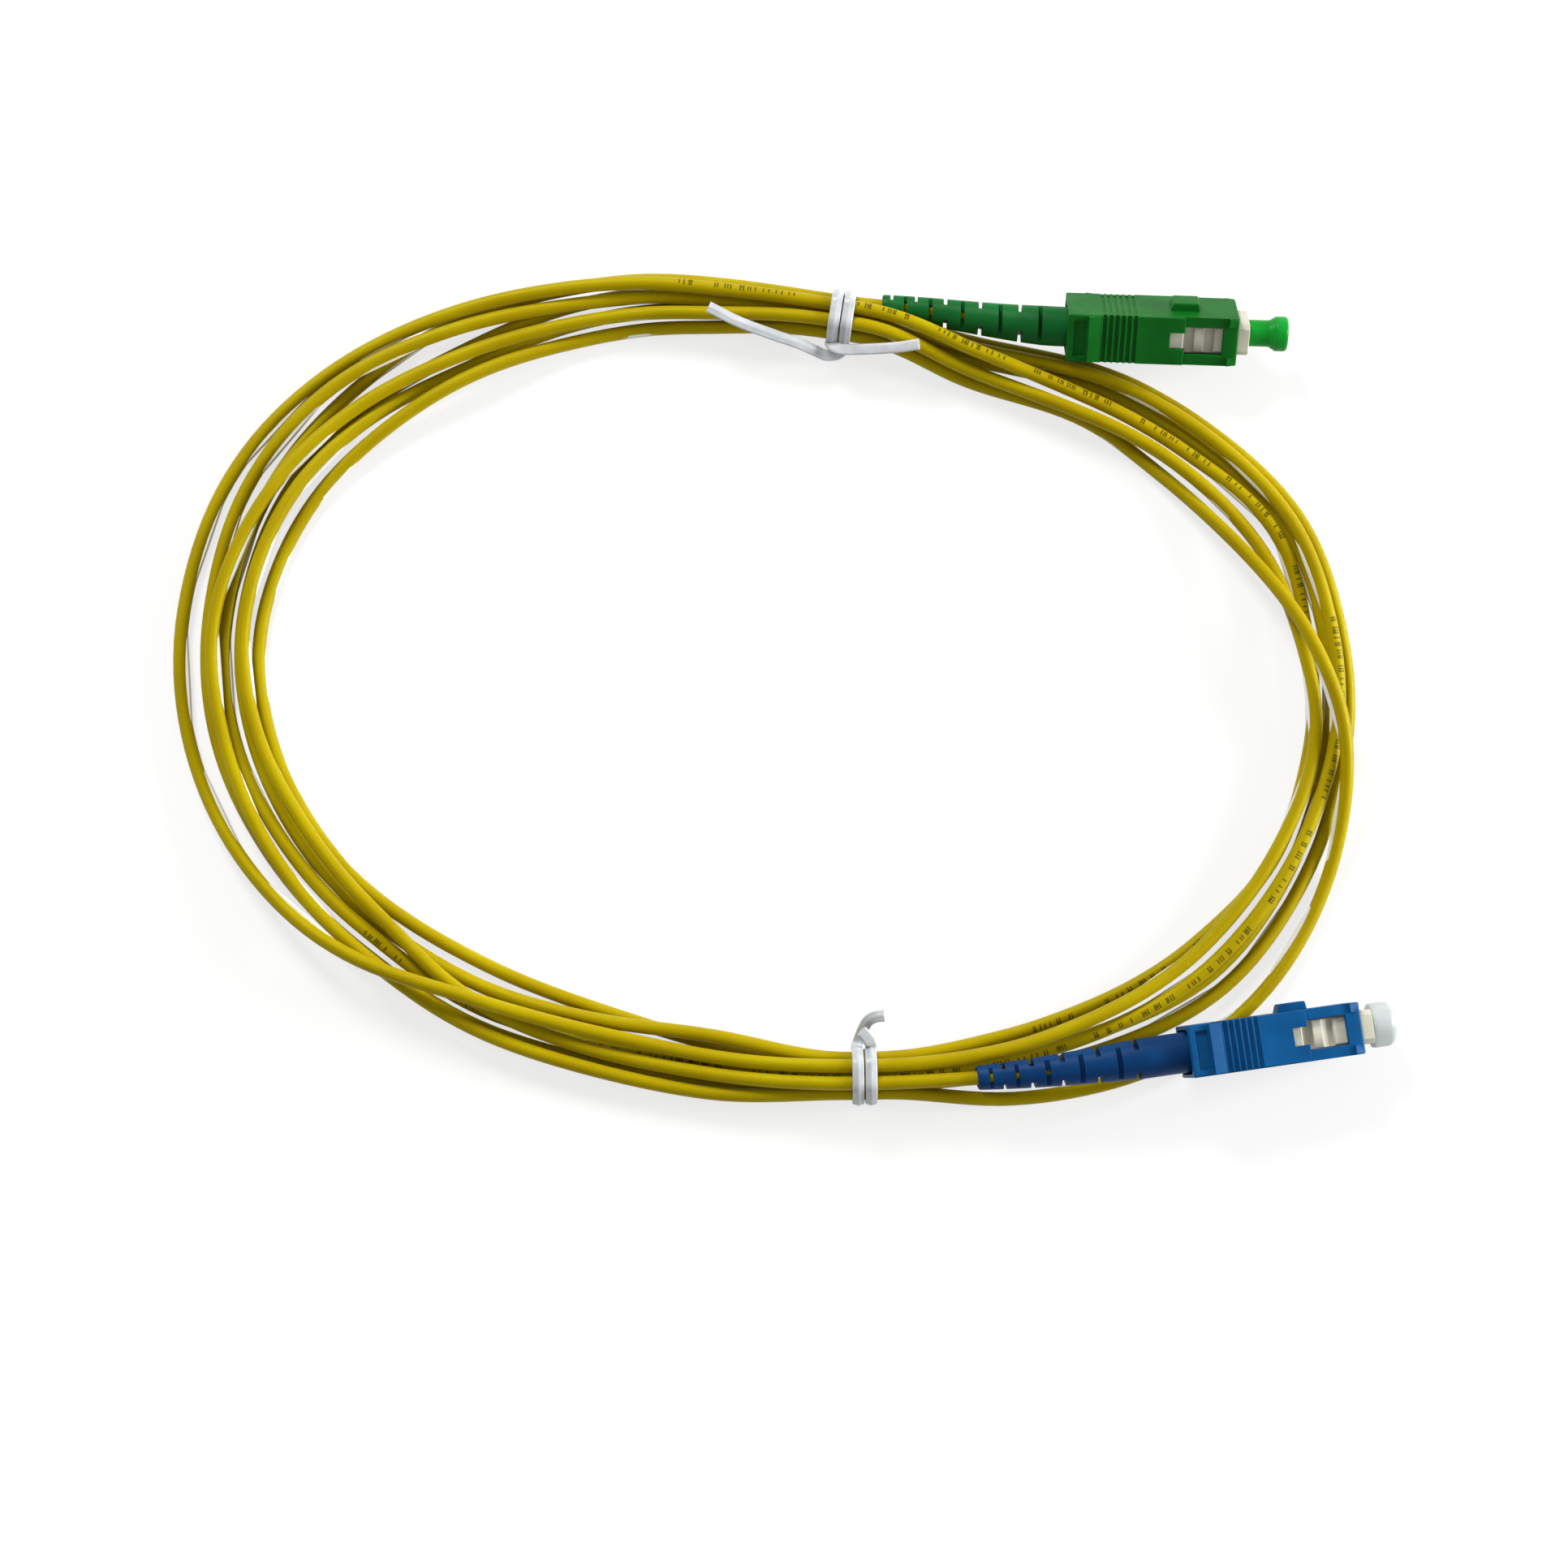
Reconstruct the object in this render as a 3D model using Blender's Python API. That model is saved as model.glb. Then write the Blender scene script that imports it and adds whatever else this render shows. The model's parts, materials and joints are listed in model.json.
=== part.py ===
"""Simplex fibre optic patch cord, coiled into an oval hank, with an angled green connector and a
flat blue one.  Metres, +Z up, the hank lies on Z = 0 with its long axis along X.

Every dimension below is in millimetres and is turned into metres where the meshes are made.
"""
import math

import bmesh
import bpy
import numpy as np
from mathutils import Matrix, Vector

MM = 0.001

# ---------------------------------------------------------------- cord and its hank
JACKET_D = 2.0                  # outside of the yellow jacket
JACKET_BORE_D = 1.3             # room for the aramid yarn and the buffered fibre
FIBRE_D = 0.9                   # tight buffer
FIBRE_LEAD = 6.0                # straight length of it behind each ferrule
JACKET_SIDES = 8
BORE_SIDES = 6
FLOOR_CUT = 0.2                 # depth of the flat a turn wears on the surface it lies on
TURN_Z = JACKET_D / 2 - FLOOR_CUT
TURN_PITCH = 2.47               # centre to centre of touching turns, with room for their facets
ROW_RISE = 2.1                  # a turn that lies over another one
STRAIGHT_AT_TIE = 3.2           # half length of the straight bundle inside a tie
LEFT_STEPS = 13
RIGHT_STEPS = 11
RELAX_ROUNDS = 600
HANK_CENTRE = (0.63, 0.27)        # moves the whole part so that its base is centred on the origin

# middle line of the hank, counter-clockwise from the top tie; the tenth is at the bottom tie
MEAN_LINE = ((8.5, 54.6), (-22.2, 57.8), (-49.5, 50.0), (-70.8, 33.2), (-81.7, 10.3), (-80.2, -12.5),
             (-67.2, -32.9), (-43.6, -47.1), (-14.0, -55.2), (11.5, -57.5), (38.1, -54.3),
             (60.6, -43.2), (74.8, -23.3), (79.3, -1.7), (71.2, 21.8), (51.1, 41.0), (26.3, 50.6))
BOTTOM_TIE_INDEX = 9

# places in the bundle under a tie: columns outward, rows upward
SLOTS = {"b1": (-0.5, 0), "b2": (0.5, 0), "m1": (-1.0, 1), "m2": (0.0, 1), "m3": (1.0, 1),
         "t1": (-0.5, 2), "t2": (0.5, 2)}

# each run goes from a slot of one tie to a slot of the other; between them stand its distance
# outward from the middle line and the row it lies in, at stations 1 to 8
LEFT_RUNS = {
    "A": ("m3", "m2", ((2.8, 1), (4.2, 0), (2.6, 0), (0.2, 0), (-1.5, 0), (-2.6, 1), (0.4, 0), (0.0, 0))),
    "B": ("t2", "t1", ((1.2, 2), (4.6, 1), (7.8, 0), (6.3, 0), (4.8, 0), (3.2, 1), (-0.2, 2), (-1.2, 1))),
    "C": ("m2", "b2", ((0.0, 1), (2.5, 1), (5.0, 0), (2.2, 0), (0.7, 0), (0.6, 0), (2.9, 0), (2.4, 0))),
    "D": ("t1", "m3", ((-2.4, 1), (-1.5, 1), (0.9, 1), (1.5, 1), (0.0, 1), (1.0, 1), (3.6, 1), (3.7, 1))),
    "G": ("m1", "b1", ((-4.3, 0), (-4.5, 1), (-4.1, 0), (-4.9, 0), (-5.9, 0), (-6.0, 0), (-5.0, 0),
                       (-2.7, 0))),
    "H": ("b1", "t2", ((-1.6, 0), (-3.2, 0), (-1.7, 1), (-2.9, 1), (-5.0, 1), (-5.5, 1), (0.1, 1),
                       (1.2, 1))),
    "X": ("b2", "m1", ((1.2, 0), (-0.8, 0), (-0.4, 0), (-2.3, 0), (-3.7, 0), (-3.6, 0), (-2.6, 0),
                       (-3.8, 1))),
}
# the same at stations 10 to 16
RIGHT_RUNS = {
    "P": ("m3", "m1", ((5.9, 0), (7.5, 0), (5.6, 0), (0.6, 2), (-3.0, 1), (-3.2, 0), (-3.4, 0))),
    "T": ("b2", "b2", ((1.2, 0), (2.8, 0), (2.8, 0), (2.7, 0), (5.3, 0), (4.0, 0), (1.5, 0))),
    "W": ("b1", "b1", ((-1.5, 0), (0.2, 0), (0.4, 0), (0.0, 0), (2.4, 0), (1.2, 0), (-1.0, 0))),
    "U": ("m2", "m2", ((-0.8, 1), (-0.8, 1), (0.3, 1), (1.3, 1), (3.8, 1), (2.4, 1), (-0.8, 1))),
    "R": ("t1", "t1", ((-2.0, 2), (-3.2, 1), (-2.1, 1), (-1.2, 1), (-1.4, 0), (-4.2, 1), (-3.0, 1))),
    "S": ("m1", "t2", ((-4.2, 0), (-4.6, 0), (-2.0, 0), (-2.4, 0), (0.6, 1), (-2.0, 1), (-0.9, 2))),
}
RUN_ORDER = "AUCTXSBRDPGWH"     # from the green lead, round and round, to the blue lead

# ---------------------------------------------------------------- ties
TIE_WIDTH = 1.7
TIE_THICK = 0.42
TIE_CLEAR = 0.22                # between the strip and the jackets it holds
TIE_BED = 0.76                  # height of the lowest jacket over the surface, under a tie
TIE_PITCH = 2.1                 # the strip's two rounds lie side by side

# ---------------------------------------------------------------- connector, local +Z to the mate, +Y to the key
GRIP_W = 9.0                    # across X, the face with the key
GRIP_H = 7.4                    # across Y, the face with the latch window
GRIP_L = 25.0
GRIP_BORE_W = 7.3
GRIP_BORE_H = 5.4
GRIP_REAR_BORE_H = 6.4
GRIP_REAR_DEPTH = 9.5
KEY_W = 3.4
KEY_L = 4.7
KEY_RISE = 1.2
KEY_SLOPE = 0.7
POCKET_Z = (0.9, 3.2)
POCKET_H = 5.4
POCKET_DEEP = 0.4
SHOULDER_Z = (3.3, 4.7)
SHOULDER_RISE = 0.35
GROOVE_START = 5.05
GROOVE_PITCH = 0.9
GROOVE_COUNT = 6
GROOVE_WIDE = 0.45
GROOVE_DEEP = 0.35
GROOVE_DEEP_KEY = 0.14
FRONT_WALL = 2.3                # wall ahead of the latch window
WINDOW_WIDE_L = 5.6
WINDOW_NARROW_L = 2.1
WINDOW_NARROW_H = 2.6
WINDOW_WIDE_H = 4.2
SIDE_STEP = 0.4
CORNER_BLOCK_L = 1.5
CORNER_BLOCK_H = 1.35
NOSE_CHAMFER = 0.75

FRAME_W = 6.8
FRAME_H = 4.9
FRAME_L = 18.1
FRAME_MOUTH_D = 4.3             # space round the ferrule for the adapter's sleeve holder
FRAME_MOUTH_L = 5.6
FRAME_STOP_L = 1.4
FRAME_STOP_BORE = 3.0
FRAME_REAR_BORE = 4.1
FRAME_CHAMFER = 0.7
LATCH_Z = (-9.9, -4.9)          # latch recess in the frame's sides, from its front face
LATCH_DEEP = 0.75
LATCH_H = 3.9
LATCH_RIDGE_Z = (-8.2, -6.9)

FERRULE_D = 2.5
FERRULE_L = 10.5
FERRULE_OUT = 2.0               # ahead of the frame's front face
FERRULE_CHAMFER = 0.45
APC_ANGLE = 8.0
UPC_DOME_RISE = 0.06
FLANGE_BORE = 2.6
FLANGE_COLLAR_D = 3.7
FLANGE_COLLAR_L = 1.8
FLANGE_BARREL_D = 2.9
FLANGE_BARREL_L = 2.1
FLANGE_TUBE_BORE = 1.6
FLANGE_GAP = 0.1
FERRULE_SEAT = 1.5              # length of ferrule held in the collar

SPRING_ROOM = 6.2               # from the collar to the rear body's nose
SPRING_WIRE = 0.34
SPRING_MEAN_D = 3.36
SPRING_TURNS = 7.5
SPRING_GAP = 0.12

BODY_NOSE_D = 3.8
BODY_NOSE_L = 3.0
BODY_FLANGE_D = 4.8
BODY_FLANGE_L = 1.0
BODY_BARREL_D = 3.0
BODY_BARREL_L = 5.0
BODY_BORE = 1.6
KNURL_PITCH = 0.8
KNURL_DEEP = 0.12

CRIMP_D = 4.0
CRIMP_BORE = 3.4
CRIMP_L = 4.9
CRIMP_GAP = 0.3                 # behind the rear body's flange
CRIMP_NECK_D = 3.3
CRIMP_NECK_BORE = 2.4
CRIMP_NECK_L = 3.0
JACKET_BACK = 0.9               # the jacket stops this far behind the barrel

BOOT_L = 34.0
BOOT_BASE_D = 5.8
BOOT_TIP_D = 3.4
BOOT_TAPER_L = 23.5             # from the tip
BOOT_SOCKET_D = 4.6
BOOT_SOCKET_CLEAR = 0.8         # from the crimp ring's end to the end of the boot's wide bore
BOOT_BORE_D = 2.6
BOOT_SLIT_COUNT = 10
BOOT_FIRST_SLIT = 1.7           # from the tip
BOOT_BARE_L = 11.1              # from the last slit to the base
BOOT_SLIT_SPREAD = 0.735        # under 1, the slits lie closer together towards the tip
BOOT_SLIT_W = 0.75
BOOT_SIDES = 16

CAP_BORE = 2.9
CAP_STEM_D = 3.9
CAP_STEM_IN = 3.6               # length of stem inside the frame's mouth
CAP_CLEAR_TIP = 1.0             # between the ferrule's tip and the bottom of the cap's bore
GREEN_CAP_NECK_L = 3.6
GREEN_CAP_HEAD_D = 5.1
GREEN_CAP_HEAD_L = 2.3
CLEAR_CAP_D = 5.9
CLEAR_CAP_L = 3.8

# where each connector lies: rear of the grip on its axis, yaw, pitch, key's lift above the horizon,
# how far the frame stands out, the key's start, the boot's base behind the rear body's flange, how many
# sixteenths the boot has turned on the cord, and its bend
CONNECTORS = {
    "apc": {"rear": (41.5, 52.6, 6.06), "yaw": -2.0, "pitch": 0.0, "key_lift": 38.0, "frame_out": 2.4,
            "key_z": 14.8, "boot_gap": 1.0, "boot_turn": 1, "bend": (2.75, -1.95), "tip_slope": (0.06, 0.0)},
    "upc": {"rear": (57.05, -54.4, 6.95), "yaw": 8.4, "pitch": -4.0, "key_lift": 5.0, "frame_out": 1.8,
            "key_z": 13.5, "boot_gap": 3.4, "boot_turn": -1, "bend": (0.75, -2.55), "tip_slope": (0.08, -0.11)},
}

COLOURS = {
    "yellow_pvc": ((0.62, 0.50, 0.015), 0.0, 0.45),
    "buffer_white": ((0.80, 0.80, 0.76), 0.0, 0.5),
    "green_grip": ((0.012, 0.19, 0.045), 0.0, 0.42),
    "green_boot": ((0.010, 0.16, 0.040), 0.0, 0.5),
    "green_cap": ((0.012, 0.33, 0.045), 0.0, 0.38),
    "blue_grip": ((0.02, 0.13, 0.36), 0.0, 0.42),
    "blue_boot": ((0.010, 0.09, 0.36), 0.0, 0.5),
    "clear_cap": ((0.78, 0.82, 0.82), 0.0, 0.3),
    "frame_white": ((0.66, 0.62, 0.55), 0.0, 0.5),
    "zirconia": ((0.86, 0.86, 0.84), 0.0, 0.2),
    "nickel": ((0.62, 0.60, 0.56), 1.0, 0.3),
    "spring_steel": ((0.55, 0.55, 0.55), 1.0, 0.35),
    "crimp_steel": ((0.60, 0.58, 0.55), 1.0, 0.4),
    "tie_white": ((0.70, 0.74, 0.77), 0.0, 0.45),
}


# ---------------------------------------------------------------- small tools
def clear_scene():
    for obj in list(bpy.data.objects):
        bpy.data.objects.remove(obj, do_unlink=True)


def material(name):
    found = bpy.data.materials.get(name)
    if found:
        return found
    colour, metallic, rough = COLOURS[name]
    mat = bpy.data.materials.new(name)
    mat.use_nodes = True
    shader = mat.node_tree.nodes["Principled BSDF"]
    shader.inputs["Base Color"].default_value = (*colour, 1.0)
    shader.inputs["Metallic"].default_value = metallic
    shader.inputs["Roughness"].default_value = rough
    return mat


def add_object(name, verts, faces, parent, slot, smooth=False):
    """Make one object from points in millimetres."""
    mesh = bpy.data.meshes.new(name)
    mesh.from_pydata([Vector(v) * MM for v in verts], [], faces)
    bm = bmesh.new()
    bm.from_mesh(mesh)
    bmesh.ops.recalc_face_normals(bm, faces=bm.faces)
    bm.to_mesh(mesh)
    bm.free()
    if smooth:
        for face in mesh.polygons:
            face.use_smooth = True
    obj = bpy.data.objects.new(name, mesh)
    bpy.context.scene.collection.objects.link(obj)
    obj.parent = parent
    if slot:
        mesh.materials.append(material(slot))
    return obj


def box_data(x, y, z):
    """Corners and faces of a box given by its three spans."""
    corners = [(a, b, c) for c in z for b in y for a in x]
    faces = [(0, 2, 3, 1), (4, 5, 7, 6), (0, 1, 5, 4), (2, 6, 7, 3), (0, 4, 6, 2), (1, 3, 7, 5)]
    return corners, faces


def prism_data(outline, axis, span):
    """Extrude a closed outline of (a, b) pairs along an axis; the pairs are the other two axes."""
    order = {"x": lambda a, b, c: (c, a, b), "y": lambda a, b, c: (a, c, b), "z": lambda a, b, c: (a, b, c)}
    put = order[axis]
    n = len(outline)
    verts = [put(a, b, span[0]) for a, b in outline]
    verts += [put(a, b, span[1]) for a, b in outline]
    faces = [tuple(range(n)), tuple(range(n, 2 * n))]
    faces += [(i, (i + 1) % n, n + (i + 1) % n, n + i) for i in range(n)]
    return verts, faces


def gather(*pieces):
    """Put several closed pieces into one list of corners and faces."""
    verts, faces = [], []
    for piece_verts, piece_faces in pieces:
        base = len(verts)
        verts += piece_verts
        faces += [tuple(base + i for i in face) for face in piece_faces]
    return verts, faces


def boolean(target, name, data, operation):
    """Cut or join one hidden tool object; its pieces don't touch one another."""
    tool = add_object(name, *data, target.parent, None)
    tool.hide_render = True
    tool.display_type = "WIRE"
    mod = target.modifiers.new(name, "BOOLEAN")
    mod.operation = operation
    mod.solver = "EXACT"
    mod.object = tool
    return mod


def lathe_data(profile, sides):
    """Turn a closed (radius, z) outline about Z.  Points on the axis make one corner each."""
    verts, index = [], []
    for r, z in profile:
        if r <= 1e-9:
            index.append([len(verts)] * sides)
            verts.append((0.0, 0.0, z))
            continue
        index.append(list(range(len(verts), len(verts) + sides)))
        for k in range(sides):
            a = 2 * math.pi * k / sides
            verts.append((r * math.cos(a), r * math.sin(a), z))
    faces = []
    n = len(profile)
    for i in range(n):
        lo, hi = index[i], index[(i + 1) % n]
        for k in range(sides):
            m = (k + 1) % sides
            ring = [lo[k], lo[m], hi[m], hi[k]]
            face = [v for j, v in enumerate(ring) if v not in ring[:j]]
            if len(face) > 2:
                faces.append(tuple(face))
    return verts, faces


def lathe(name, profile, sides, parent, slot):
    return add_object(name, *lathe_data(profile, sides), parent, slot, smooth=True)


# ---------------------------------------------------------------- route of the cord
def closed_curve(points, steps):
    """Smooth closed line through the points."""
    points = np.array(points, float)
    count = len(points)
    out = []
    for i in range(count):
        p0, p1, p2, p3 = points[i - 1], points[i], points[(i + 1) % count], points[(i + 2) % count]
        for k in range(steps):
            t = k / steps
            out.append(0.5 * (2 * p1 + (p2 - p0) * t + (2 * p0 - 5 * p1 + 4 * p2 - p3) * t ** 2
                              + (3 * p1 - p0 - 3 * p2 + p3) * t ** 3))
    return np.array(out)


class MiddleLine:
    """The hank's middle line, measured along its length."""

    def __init__(self, points, steps=200):
        curve = closed_curve(points, steps)
        self.curve = np.vstack([curve, curve[:1]])
        leg = np.linalg.norm(np.diff(self.curve, axis=0), axis=1)
        self.along = np.r_[0.0, np.cumsum(leg)]
        self.length = self.along[-1]
        self.stations = [self.along[i * steps] for i in range(len(points))] + [self.length]

    def point(self, s):
        s = np.mod(s, self.length)
        return np.c_[np.interp(s, self.along, self.curve[:, 0]), np.interp(s, self.along, self.curve[:, 1])]

    def outward(self, s):
        heading = self.point(s + 2.0) - self.point(s - 2.0)
        heading /= np.linalg.norm(heading, axis=1)[:, None]
        return np.c_[heading[:, 1], -heading[:, 0]]

    def place(self, s, offsets):
        """World points from places along the line and (outward, height) pairs."""
        s = np.atleast_1d(np.asarray(s, float))
        offsets = np.atleast_2d(offsets)
        flat = self.point(s) + self.outward(s) * offsets[:, :1]
        return np.c_[flat, offsets[:, 1]]


def slot_place(name):
    column, row = SLOTS[name]
    height = JACKET_D / 2 + TIE_BED + row * TURN_PITCH * math.sqrt(3) / 2
    return np.array([column * TURN_PITCH, height])


def ease_between(xs, ys, x):
    """Cubic through (xs, ys) with no slope at either end."""
    slope = np.gradient(ys, xs, axis=0)
    slope[0] = 0
    slope[-1] = 0
    i = np.clip(np.searchsorted(xs, x, side="right") - 1, 0, len(xs) - 2)
    h = (xs[i + 1] - xs[i])[:, None]
    t = (x - xs[i])[:, None] / h
    return ((2 * t ** 3 - 3 * t ** 2 + 1) * ys[i] + (t ** 3 - 2 * t ** 2 + t) * h * slope[i]
            + (3 * t ** 2 - 2 * t ** 3) * ys[i + 1] + (t ** 3 - t ** 2) * h * slope[i + 1])


def half_grid(s0, s1, steps):
    inner = np.linspace(s0 + STRAIGHT_AT_TIE, s1 - STRAIGHT_AT_TIE, steps + 1)
    return np.r_[s0, inner, s1]


def first_guess(runs, stations, grid):
    places = []
    knots = np.array([stations[0], stations[0] + STRAIGHT_AT_TIE, *stations[1:-1],
                      stations[-1] - STRAIGHT_AT_TIE, stations[-1]])
    for start, end, offsets in runs.values():
        row = [slot_place(start)] * 2
        row += [np.array([u, TURN_Z + r * ROW_RISE]) for u, r in offsets]
        row += [slot_place(end)] * 2
        path = ease_between(knots, np.array(row), grid)
        path[:2] = slot_place(start)
        path[-2:] = slot_place(end)
        places.append(path)
    return np.array(places)


def settle(places):
    """Push crossing turns apart until each pair keeps its pitch, as a hank settles."""
    wanted = places.copy()
    one, two = np.triu_indices(len(places), 1)
    for step in range(RELAX_ROUNDS):
        push = np.zeros_like(places)
        for t in np.linspace(0, 1, 5, endpoint=False):
            now = (1 - t) * places[:, :-1] + t * places[:, 1:]
            apart = now[two] - now[one]
            gap = np.linalg.norm(apart, axis=2) + 1e-9
            force = apart / gap[..., None] * np.clip(TURN_PITCH - gap, 0, None)[..., None] * 0.25
            for sign, which in ((-1, one), (1, two)):
                np.add.at(push[:, :-1], which, sign * force * (1 - t))
                np.add.at(push[:, 1:], which, sign * force * t)
        places[:, 2:-2] += push[:, 2:-2]
        if step < RELAX_ROUNDS * 0.85:
            moved = places - wanted
            bend = moved[:, 1:-3] - 2 * moved[:, 2:-2] + moved[:, 3:-1]
            places[:, 2:-2] += 0.12 * bend - 0.05 * moved[:, 2:-2]
        places[:, 2:-2, 1] = np.maximum(places[:, 2:-2, 1], TURN_Z)
    return places


def hermite(p0, d0, p1, d1, t):
    t = np.asarray(t)[:, None]
    return ((2 * t ** 3 - 3 * t ** 2 + 1) * p0 + (t ** 3 - 2 * t ** 2 + t) * d0
            + (3 * t ** 2 - 2 * t ** 3) * p1 + (t ** 3 - t ** 2) * d1)


def boot_base(spec):
    """The boot's base on the connector's axis, ahead of the grip's rear."""
    return GRIP_L + spec["frame_out"] - frame_back("barrel_front") - spec["boot_gap"]


def boot_bend(spec, back):
    """Sideways and downward shift of a boot's middle line, this far behind the grip."""
    length = BOOT_L - boot_base(spec)
    t = np.clip(np.asarray(back, float) / length, 0, 1)
    shift = []
    for amount, slope in zip(spec["bend"], spec["tip_slope"]):
        shift.append(amount * (3 * t ** 2 - 2 * t ** 3) + slope * length * (t ** 3 - t ** 2))
    return shift


def connector_matrix(spec):
    """Local axes: Z to the mating end, Y to the key."""
    yaw, pitch, lift = (math.radians(spec[k]) for k in ("yaw", "pitch", "key_lift"))
    forward = Vector((math.cos(pitch) * math.cos(yaw), math.cos(pitch) * math.sin(yaw), math.sin(pitch)))
    level = Vector((0, 0, 1)).cross(forward).normalized()
    upward = forward.cross(level)
    key = level * math.cos(lift) + upward * math.sin(lift)
    across = key.cross(forward)
    turn = Matrix((across, key, forward)).transposed()
    return Matrix.Translation(Vector(spec["rear"])) @ turn.to_4x4()


def lead_points(spec, back_distances):
    """World points on a boot's bent middle line; a negative distance lies inside the grip."""
    frame = connector_matrix(spec)
    back = np.array(back_distances, float)
    side, down = boot_bend(spec, np.maximum(back, 0))
    points = []
    for d, a, b in zip(back, side, down):
        world = frame @ Vector((0, 0, -d)) + Vector((0, a, b))
        points.append(tuple(world))
    return np.array(points)


def lead_from_tie(spec, tie_point, tie_heading, count):
    """Free stretch between a tie and a boot's tip, ends left out."""
    length = BOOT_L - boot_base(spec)
    tip, inside = lead_points(spec, (length, length - 1.0))
    reach = np.linalg.norm(tip - tie_point)
    tip_heading = (inside - tip) / np.linalg.norm(inside - tip)
    t = np.linspace(0, 1, count + 2)[1:-1]
    return hermite(tie_point, tie_heading * reach, tip, tip_heading * reach, t)


def hank_route():
    """The turns of the hank as one line, and the middle line they follow."""
    line = MiddleLine(MEAN_LINE)
    bottom = line.stations[BOTTOM_TIE_INDEX]
    halves = []
    for runs, stations, steps in ((LEFT_RUNS, line.stations[:BOTTOM_TIE_INDEX + 1], LEFT_STEPS),
                                  (RIGHT_RUNS, line.stations[BOTTOM_TIE_INDEX:], RIGHT_STEPS)):
        grid = half_grid(stations[0], stations[-1], steps)
        places = settle(first_guess(runs, np.array(stations), grid))
        halves.append({name: line.place(grid, row) for name, row in zip(runs, places)})
    points = []
    for i, name in enumerate(RUN_ORDER):
        run = halves[i % 2][name]
        points.append(run if i == 0 else run[1:])
    return np.vstack(points), line, bottom


def cord_route():
    """Jacket's middle line from the green connector to the blue one."""
    turns, line, bottom = hank_route()
    heads = []
    for key in ("apc", "upc"):
        spec = CONNECTORS[key]
        jacket_end = -(GRIP_L + spec["frame_out"] - frame_back("jacket"))
        length = BOOT_L - boot_base(spec)
        inside = lead_points(spec, np.r_[jacket_end, jacket_end + 3.0, np.linspace(0.0, length, 9)[1:]])
        heads.append(inside)
    first_heading = turns[0] - turns[1]
    first_heading /= np.linalg.norm(first_heading)
    last_heading = turns[-1] - turns[-2]
    last_heading /= np.linalg.norm(last_heading)
    green_free = lead_from_tie(CONNECTORS["apc"], turns[0], first_heading, 2)[::-1]
    blue_free = lead_from_tie(CONNECTORS["upc"], turns[-1], last_heading, 4)
    points = np.vstack([heads[0], green_free, turns, blue_free, heads[1][::-1]])
    return points, turns, line, bottom


def frame_back(what):
    """Distances behind the plug frame's front face."""
    body_front = FRAME_MOUTH_L + FRAME_STOP_L + FLANGE_GAP + FLANGE_COLLAR_L + SPRING_ROOM
    body_flange = FRAME_L + 0.3
    barrel_end = body_flange + BODY_FLANGE_L + BODY_BARREL_L
    table = {
        "collar_front": FRAME_MOUTH_L + FRAME_STOP_L + FLANGE_GAP,
        "collar_rear": FRAME_MOUTH_L + FRAME_STOP_L + FLANGE_GAP + FLANGE_COLLAR_L,
        "body_front": body_front,
        "body_flange": body_flange,
        "barrel_front": body_flange + BODY_FLANGE_L,
        "barrel_end": barrel_end,
        "crimp_end": body_flange + BODY_FLANGE_L + CRIMP_GAP + CRIMP_L + CRIMP_NECK_L,
        "jacket": barrel_end + JACKET_BACK,
        "ferrule_rear": FERRULE_L - FERRULE_OUT,
        "fibre_end": FERRULE_L - FERRULE_OUT + 1.6,
    }
    return table[what]


def sweep_data(points, sections, up_vectors=None):
    """Closed skins along a line.  sections: outlines of (side, up) pairs at each point, outer first."""
    points = np.asarray(points)
    heading = np.gradient(points, axis=0)
    heading[0] = points[1] - points[0]
    heading[-1] = points[-1] - points[-2]
    heading /= np.linalg.norm(heading, axis=1)[:, None]
    ups = np.tile((0.0, 0.0, 1.0), (len(points), 1)) if up_vectors is None else np.asarray(up_vectors)
    side = np.cross(heading, ups)
    side /= np.linalg.norm(side, axis=1)[:, None]
    up = np.cross(side, heading)
    verts, faces, skins = [], [], []
    for outline in sections:
        start = len(verts)
        for i, point in enumerate(points):
            shape = outline[i] if isinstance(outline[0], list) else outline
            for a, b in shape:
                verts.append(tuple(point + side[i] * a + up[i] * b))
        n = len(shape)
        skins.append((start, n))
        for i in range(len(points) - 1):
            lo, hi = start + i * n, start + (i + 1) * n
            faces += [(lo + k, lo + (k + 1) % n, hi + (k + 1) % n, hi + k) for k in range(n)]
    for at in (0, len(points) - 1):
        if len(skins) == 1:
            start, n = skins[0]
            faces.append(tuple(start + at * n + k for k in range(n)))
            continue
        (start, n), (inner, m) = skins
        faces += annulus(start + at * n, n, inner + at * m, m)
    return verts, faces


def annulus(outer, n, inner, m):
    """Ring of faces between two loops of corners that start at the same angle."""
    faces = []
    i = j = 0
    while i < n or j < m:
        if j >= m or (i < n and (i + 0.5) / n <= (j + 0.5) / m):
            faces.append((outer + i % n, outer + (i + 1) % n, inner + j % m))
            i += 1
        else:
            faces.append((inner + j % m, outer + i % n, inner + (j + 1) % m))
            j += 1
    return faces


def round_section(radius, sides):
    """Flat side down."""
    start = -math.pi / 2 + math.pi / sides
    return [(radius * math.cos(start + 2 * math.pi * k / sides),
             radius * math.sin(start + 2 * math.pi * k / sides)) for k in range(sides)]


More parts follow.
